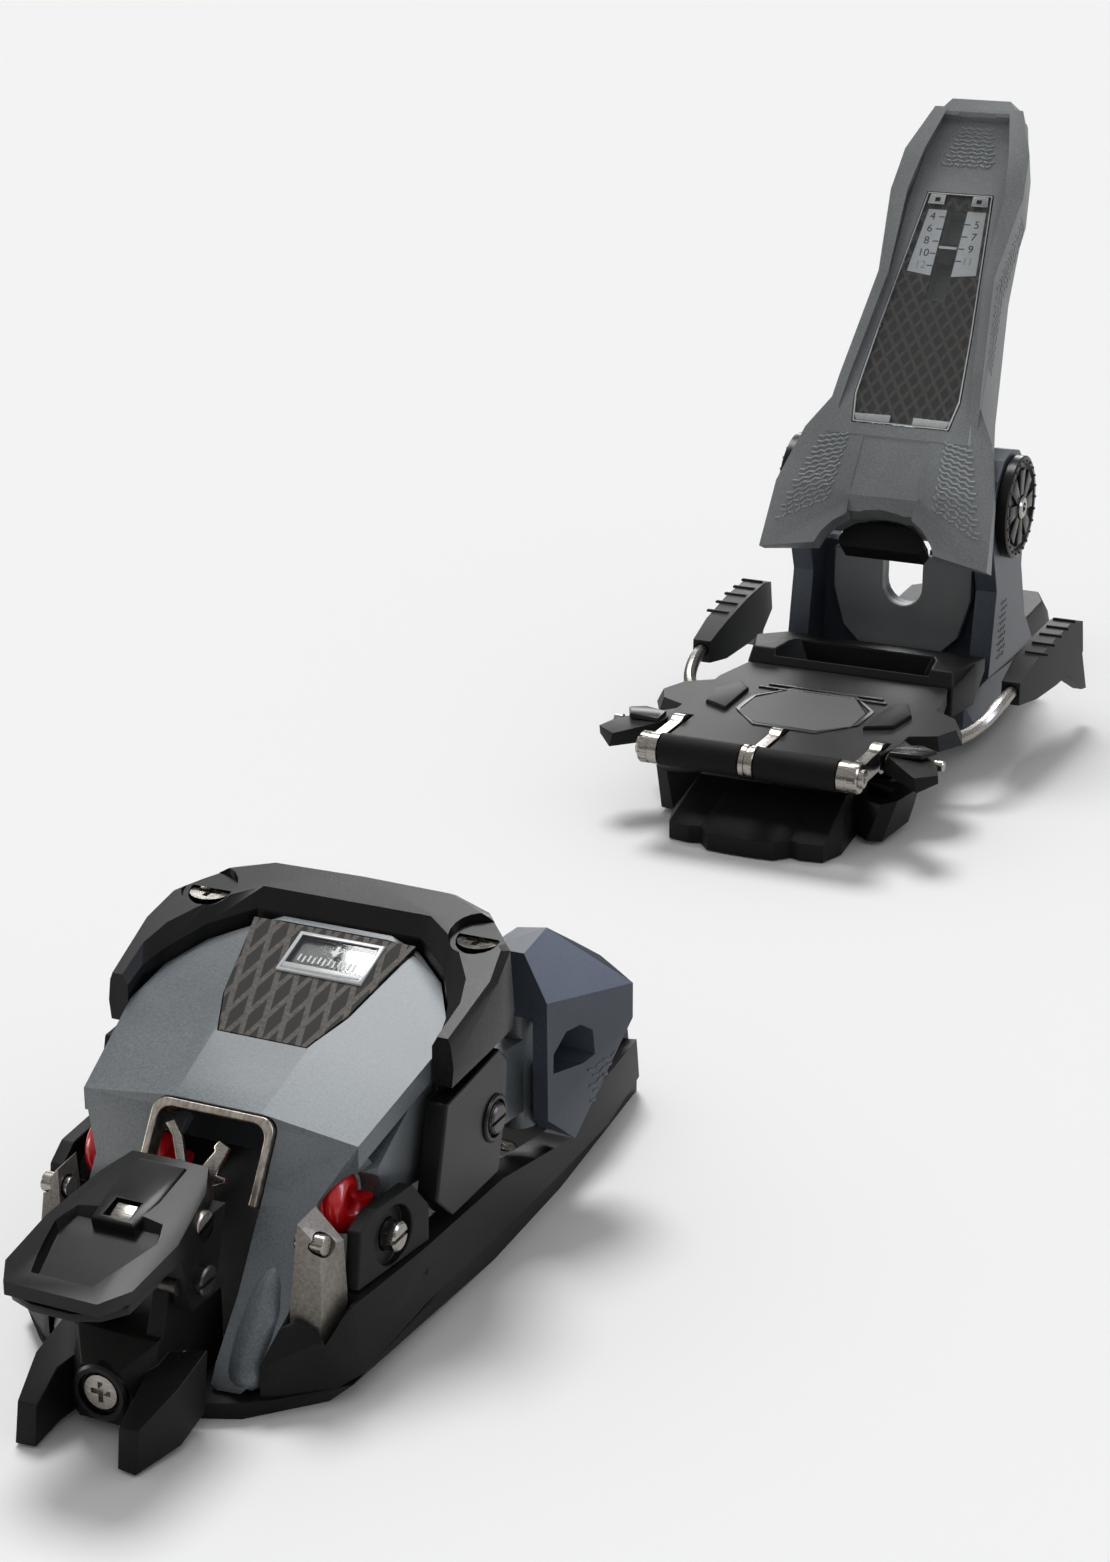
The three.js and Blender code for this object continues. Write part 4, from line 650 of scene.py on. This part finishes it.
def octagon(grow):
    half_x, half_y, cut_x, cut_y = PAD_X + grow, PAD_Y + grow, PAD_X * 0.55, PAD_Y * 0.39
    return [(cut_x, -half_y), (half_x, -cut_y), (half_x, cut_y), (cut_x, half_y),
            (-cut_x, half_y), (-half_x, cut_y), (-half_x, -cut_y), (-cut_x, -half_y)]


pad_place = Matrix.Translation(Vector((0, pad.y, pedal_top)))
ring = plate(octagon(1.6), 0.3, 0.15)
hole = plate(octagon(0.3), 3, 0)
hole.location.z = -1 * MM
notch(ring, hole)
settle(ring, "pad_frame", "pedal", SATIN_BLACK, pad_place)
for side_name, side in SIDES:
    wedge = plate([(side * x, y) for x, y in ((20, -9), (27.5, -5), (29, 6), (25, 15), (20.5, 10))], 1.3, 0.8)
    settle(wedge, f"pedal_wedge_{side_name}", "pedal", BLACK_NYLON, pad_place)
    ear = plate([(side * x, y) for x, y in ((33, -26), (42, -25), (44.5, -19.5), (40, -17), (33.5, -19))], 1.2, 0.7)
    settle(ear, f"pedal_ear_{side_name}", "pedal", SATIN_BLACK, pad_place)
    ear_pin = turned([(1.5, 0), (1.5, 2.2), (1.2, 2.5)], 16)
    spot = Vector((side * 37, -78, 0)) * MM + Vector((0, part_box("pivot_axle")[0].y + 0.004 - 0.027, pedal_top))
    settle(ear_pin, f"ear_pin_{side_name}", "pedal", STEEL,
           frame_at(spot + Vector((side * 8, 0, -2)) * MM, (0, side, 0), (0, 0, 1)))
for index, y in enumerate((13.6, 16.8)):
    rib = plate(rectangle(-19 + 2 * index, 19 - 2 * index, y, y + 1.0), 0.5, 0.25)
    settle(rib, f"pedal_rib_{index + 1}", "pedal", SATIN_BLACK, pad_place)

# %% [markdown]
# ## Brake tips
# The brake's ends are black claws, ribbed across the top where they dig into snow.
# %% Ribs along the tips
for side_name, side in SIDES:
    low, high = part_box(f"brake_tip_{side_name}")
    rib = plate(rectangle(-0.5, 0.5, -3.4, 3.4), 0.8, 0.3)
    places = []
    for i in range(5):
        at = Vector((low.x + high.x, 0, 0)) / 2 + Vector((0, low.y + (0.3 + 0.12 * i) * (high.y - low.y), 0))
        hit, point, normal, _ = frame["nodes"][f"brake_tip_{side_name}"].ray_cast(
            at + Vector((side * 0.5 * MM, 0, 0.2)), Vector((0, 0, -1)))
        places.append(frame_at(point - normal * 0.3 * MM, (0, 1, 0), (-1, 0, 0)))
    settle(copies(rib, places), f"tip_ribs_{side_name}", "brake_arms", BLACK_NYLON)

# %% [markdown]
# ## Toe springs
# The springs are wound from round wire, and a coil is one circle swept round an axis while it moves along it:
# the Screw modifier does just that. The ends are closed afterwards.
# %% Wind the springs
TURNS = 5
for side_name, side in SIDES:
    low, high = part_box(f"coil_{side_name}")
    wire_radius = 2.1
    reach = (high.z - low.z) / 2 / MM - wire_radius + 0.5
    pitch = ((high.x - low.x) / MM - 2 * wire_radius) / TURNS
    clear_selection()
    bpy.ops.mesh.primitive_circle_add(vertices=14, radius=wire_radius * MM, location=(0, reach * MM, 0))
    spring = bpy.context.object
    bpy.ops.object.transform_apply(location=True)
    apply_modifier(spring, "SCREW", axis="X", angle=TURNS * 2 * math.pi, screw_offset=pitch * TURNS * MM,
                   steps=26 * TURNS, render_steps=26 * TURNS, use_smooth_shade=True)
    bpy.ops.object.mode_set(mode="EDIT")
    bpy.ops.mesh.select_all(action="SELECT")
    bpy.ops.mesh.fill_holes(sides=0)
    bpy.ops.mesh.select_all(action="SELECT")
    bpy.ops.mesh.normals_make_consistent(inside=False)
    bpy.ops.object.mode_set(mode="OBJECT")
    start = Matrix.Translation(Vector((low.x + wire_radius * MM, (low.y + high.y) / 2, (low.z + high.z) / 2)))
    settle(spring, f"spring_{side_name}", "base", RED_ENAMEL, start, smooth=60)
    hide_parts(f"coil_{side_name}")
print("springs", TURNS, "turns")

# %% [markdown]
# ## The toe's small steel parts
# Bolts are turned and then slotted. The fork that pushes on the boot's toe lug is stamped from sheet.
# %% Slotted bolts
def slotted_bolt(name, at, out, radius, height, body, material=STEEL, recess=0.35):
    head = turned([(radius, -1.5), (radius, height - 0.35), (radius - 0.4, height), (radius * 0.3, height)], 28)
    slot_tool = plate(rectangle(-radius * 1.4, radius * 1.4, -0.4, 0.4), 3, 0)
    slot_tool.location.z = (height - recess * 2) * MM
    notch(head, slot_tool)
    side_axis = Vector((0, 1, 0)) if abs(out[1]) < 0.5 else Vector((1, 0, 0))
    return settle(head, name, body, material, frame_at(at, side_axis, Vector(out).cross(side_axis)))


for side_name, side in SIDES:
    for node, radius, rise in (("side_bolt", 2.9, 1.4), ("latch_pin", 3.1, 0.5)):
        low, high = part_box(f"{node}_{side_name}")
        outer = Vector((high.x if side > 0 else low.x, (low.y + high.y) / 2, (low.z + high.z) / 2))
        slotted_bolt(f"{node}_head_{side_name}", outer, (side, 0, 0), radius, rise, "base",
                     STEEL if node == "side_bolt" else DARK_STEEL)
    ring = turned([(4.9, -0.4), (4.9, 0.3), (4.5, 0.6), (3.9, 0.6), (3.6, -0.2)], 32)
    settle(ring, f"latch_ring_{side_name}", "base", SATIN_BLACK,
           frame_at(outer - Vector((side * 0.8 * MM, 0, 0)), (0, side, 0), (0, 0, 1)))

# %% Lever details
lever_low, lever_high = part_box("tech_lever")
axle_low, axle_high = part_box("lever_axle")
axle_middle = (axle_low + axle_high) / 2
for side_name, side in SIDES:
    end = Vector((side * (lever_high.x - 1.2 * MM), axle_middle.y, axle_middle.z))
    slotted_bolt(f"axle_bolt_{side_name}", end, (side, 0, 0), 2.9, 1.3, "base", DARK_STEEL)
    disc = turned([(3.0, -1.0), (3.0, 0.4), (2.7, 0.7)], 32)
    settle(disc, f"lever_disc_{side_name}", "lever", BARE_TRIM,
           frame_at((side * (lever_high.x - 2.1 * MM), axle_middle.y + 2 * MM, axle_middle.z + 9.5 * MM),
                    (0, side, 0), (0, 0, 1)))
latch_low, latch_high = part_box("lever_latch")
block = plate([(-4.4, -4.6), (4.4, -4.6), (5.4, 3), (5.0, 13), (-5.0, 13), (-5.4, 3)], 3.2, 0.6)
pocket = plate(rectangle(-2.7, 2.7, -3.4, 1.6), 9, 0)
pocket.location.z = 0.6 * MM
notch(block, pocket)
latch_middle = (latch_low + latch_high) / 2
rise = math.radians(12)    # the block slopes up towards the arch
settle(block, "lever_block", "lever", SATIN_BLACK,
       frame_at((0, latch_middle.y, latch_high.z - 2.0 * MM), (1, 0, 0), (0, math.cos(rise), math.sin(rise))))
tongue = plate(rectangle(-2.2, 2.2, -2.4, 1.4), 0.9, 0.25)
settle(tongue, "latch_tongue", "lever", STEEL,
       frame_at((0, latch_middle.y - 0.6 * MM, latch_high.z - 0.4 * MM), (1, 0, 0), (0, 0.93, 0.36)))

rim_outline = [(-12.2, -1), (-13.2, -12), (-12.6, -19.5), (-9, -23), (-4, -24.6), (4, -24.6), (9, -23),
               (12.6, -19.5), (13.2, -12), (12.2, -1)]
rim_inner = [(x * 0.8, y * 0.86) for x, y in rim_outline]
rim = plate(rim_outline, 1.6, 0.6)
dish = plate([(x, y + (4 if y > -2 else 0)) for x, y in rim_inner], 6, 0)
dish.location.z = -1 * MM
notch(rim, dish)
slope = math.radians(9)
settle(rim, "lever_rim", "lever", SATIN_BLACK,
       frame_at((0, lever_low.y + 24.4 * MM, latch_high.z - 4.6 * MM), (1, 0, 0),
                (0, math.cos(slope), math.sin(slope))))
cross_pin = turned([(1.9, -11), (1.9, 11)], 24)
settle(cross_pin, "lever_cross_pin", "base", DARK_STEEL,
       frame_at((0, axle_middle.y - 5 * MM, axle_middle.z + 1 * MM), (0, 1, 0), (0, 0, 1)))

# %% The nose's screw seat and ribs
screw_low, screw_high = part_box("front_screw")
screw_middle = (screw_low + screw_high) / 2
seat = turned([(5.6, -3.0), (5.6, 0.6), (5.1, 1.0), (4.3, 1.0), (4.0, -1.0)], 32)
settle(seat, "front_screw_seat", "base", SATIN_BLACK,
       frame_at((0, screw_low.y + 0.4 * MM, screw_middle.z), (1, 0, 0), (0, 0, 1)))
for side_name, side in SIDES:
    stub = turned([(1.5, -3), (1.5, 1.6), (1.2, 1.9)], 20)
    settle(stub, f"nose_pin_{side_name}", "base", DARK_STEEL,
           frame_at((side * 8.6 * MM, screw_low.y + 12 * MM, screw_middle.z + 3 * MM), (0, side, 0), (0, 0, 1)))

# %% Caps on the housing's feet
FOOT_FLATNESS = 0.75
leg_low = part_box("toe_housing")[0]
for side_name, side in SIDES:
    foot = turned([(1.8, -1.4), (2.9, -0.6), (3.6, 1.0), (3.9, 3.6), (3.9, 8), (3.5, 13), (2.6, 18), (1.5, 21)], 32)
    foot.scale.y = FOOT_FLATNESS
    at = Vector((side * 18.6 * MM, leg_low.y + 2.6 * MM, leg_low.z + 1.6 * MM))
    settle(foot, f"foot_cap_{side_name}", "module", FLAKE_GREY,
           frame_at(at, (1, 0, 0), (0, 0.79, -0.61)), smooth=60)

# %% The fork
fork_shape = [(-1.2, 0), (4.5, 0), (7.0, 1.2), (7.0, 2.2), (5.0, 2.4), (6.6, 7.6), (4.2, 8.6), (3.4, 7.4), (3.8, 6.6),
              (1.4, 2.8), (-1.6, 3.0), (-3.6, 8.0), (-6.0, 10.6), (-7.6, 9.8), (-5.6, 7.8), (-3.2, 2.2)]
fork = plate(fork_shape, 1.0, 0.25)
fork_low, fork_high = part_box("steel_fork")
fork_place = frame_at((0, fork_high.y - 3 * MM, fork_low.z + 5 * MM), (1, 0, 0), (0, 0.45, 0.89))
settle(fork, "toe_fork", "base", STEEL, fork_place)
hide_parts("steel_fork")

# %% [markdown]
# ## The toe label's window
# Under the window, a row of ticks and a small arrow show the toe's release value.
# %% Ticks and arrow
TOP_SLOPE = math.radians(20.5)
label_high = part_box("toe_label")[1]
window_low, window_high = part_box("toe_window")


def on_top(x, y, rise=0.0):
    """Flat pieces on the toe's sloping top: x and y in millimetres in plan, rise above the label."""
    height = label_high.z + (y * MM - label_high.y) * math.tan(TOP_SLOPE)
    normal = Vector((0, -math.sin(TOP_SLOPE), math.cos(TOP_SLOPE)))
    return frame_at(Vector((x * MM, y * MM, height)) + normal * rise * MM, (1, 0, 0),
                    (0, math.cos(TOP_SLOPE), math.sin(TOP_SLOPE)))


tick = plate(rectangle(-0.18, 0.18, -0.9, 0.9), 0.1, 0)
TICK_RISE = 0.25       # above the label, just proud of the window
tick_places = [on_top(-3.2 + 1.1 * i, -11.2 - (0.3 if i % 2 else 0), TICK_RISE) for i in range(12)]
settle(copies(tick, tick_places), "toe_ticks", "module", DIAL_WHITE)
arrow = plate([(0, -1.4), (1.1, 0.2), (0.35, 0.2), (0.35, 1.6), (-0.35, 1.6), (-0.35, 0.2), (-1.1, 0.2)], 0.1, 0)
settle(arrow, "toe_arrow", "module", DIAL_WHITE, on_top(3.4, -8.4, TICK_RISE))
window_middle = (window_low + window_high) / 2
WINDOW_X = window_middle.x / MM
# A thin pale ring round the toe window, in the painted-highlight material: a painted highlight of the window's bright
# edge.
painted_rim_highlight = plate(rectangle(-9.4, 9.4, -5.6, 5.6), 0.5, 0.2)
opening = plate(rectangle(-8.5, 8.5, -4.7, 4.7), 3, 0)
opening.location.z = -1 * MM
notch(painted_rim_highlight, opening)
settle(painted_rim_highlight, "window_painted_rim_highlight", "module", PAINTED_EDGE_HIGHLIGHT, on_top(WINDOW_X, window_middle.y / MM, 0.0))
well = plate(rectangle(-8.6, 8.6, -4.8, 4.8), 0.2, 0)
settle(well, "window_well", "module", INK, on_top(WINDOW_X, window_middle.y / MM, -1.6))
strip = plate([(-8.6, -4.6), (8.6, -4.6), (8.6, -3.2), (-8.6, -3.2)], 0.25, 0.1)
settle(strip, "window_strip", "module", FROSTED, on_top(WINDOW_X, window_middle.y / MM, 0.2))

# %% Wing and stand grip patches
for side_name, side in SIDES:
    start = 0.2 * side
    ends = [Vector((start, y * MM, z * MM)) for y, z in ((27, 21), (33, 24), (32, 33), (24, 31))]
    grip_patch(f"wing_grip_{side_name}", f"wing_{side_name}", ends, (-side, 0, 0), 5, 4, (1.6, 0.6, 0.3),
               f"wing_{side_name}_body", BLUE_GREY)
    stand_y = pivot.y / MM
    ends = [Vector((start, (stand_y + y) * MM, z * MM)) for y, z in ((-6, 22), (2, 22), (2, 40), (-3, 40))]
    grip_patch(f"stand_grip_{side_name}", "heel_stand", ends, (-side, 0, 0), 9, 4, (1.6, 0.6, 0.3), "carriage",
               BLUE_GREY)

# %% [markdown]
# ## Floor and light
# The binding stands on a wide pale floor. A sky that is darker towards the horizon gives bright metal something
# dark to reflect, though the camera itself sees it as pale as the floor. A wide sun from the back left gives each
# unit its soft shadow, and three soft boxes show only in glossy surfaces, where they draw highlights.
# %% Lay the floor
FLOOR_WHITE = 0.885
clear_selection()
bpy.ops.mesh.primitive_plane_add(size=12, location=(0, 2, 0))
floor = bpy.context.object
floor.name = "studio_floor"
paper, paper_surface, _ = start_material("matt_studio_paper", Roughness=0.9)
paper_surface.inputs["Base Color"].default_value = (FLOOR_WHITE, FLOOR_WHITE, FLOOR_WHITE, 1)
paper_surface.inputs["Specular IOR Level"].default_value = 0.0
floor.data.materials.append(paper)

# %% Light it
SKY = 0.46             # strength of the sky, which is brightest overhead
SUN = 1.85
SUN_SPREAD = 22        # degrees, for a soft edge to the shadows
SKY_SEEN = 1.9         # the sky as the camera sees it, times SKY
world = bpy.data.worlds.new("studio_sky")
bpy.context.scene.world = world
world.use_nodes = True
ray = add_node(world, "ShaderNodeTexCoord")
height = add_node(world, "ShaderNodeSeparateXYZ", links={"Vector": ray.outputs["Generated"]})
dome = add_node(world, "ShaderNodeMapRange", {"From Min": 0.02, "From Max": 0.4, "To Min": 0.15, "To Max": 1.12},
                {"Value": height.outputs["Z"]})
path = add_node(world, "ShaderNodeLightPath")
seen = add_node(world, "ShaderNodeMix", {"B": SKY_SEEN},
                {"Factor": path.outputs["Is Camera Ray"], "A": dome.outputs["Result"]})
connect(world, seen.outputs["Result"], world.node_tree.nodes["Background"].inputs["Color"])
world.node_tree.nodes["Background"].inputs["Strength"].default_value = SKY
bpy.context.scene.view_settings.view_transform = "Standard"
SUN_WAY = Vector((0.3, -0.42, -1))
bpy.ops.object.light_add(type="SUN", rotation=SUN_WAY.to_track_quat("-Z", "Y").to_euler())
sun = bpy.context.object
sun.data.energy = SUN
sun.data.angle = math.radians(SUN_SPREAD)


def soft_box(name, place, aim, size, power, tint):
    bpy.ops.object.light_add(type="AREA", location=place)
    box = bpy.context.object
    box.name = name
    box.data.shape = "RECTANGLE"
    box.data.size, box.data.size_y = size
    box.data.energy = power
    box.data.color = colour(tint)[:3]
    box.rotation_euler = (Vector(aim) - Vector(place)).to_track_quat("-Z", "Y").to_euler()
    box.visible_diffuse = False
    return box


soft_box("left_box", (-1.3, -0.5, 0.35), (0, 0.1, 0.03), (0.4, 0.5), 6, "#fff8f0")
soft_box("right_box", (1.0, 0.3, 0.7), (0, 0.1, 0), (0.4, 1.2), 10, "#dfe6ff")
soft_box("back_box", (-0.5, 1.7, 0.5), (0, 0.2, 0), (1.2, 0.35), 9, "#ffffff")
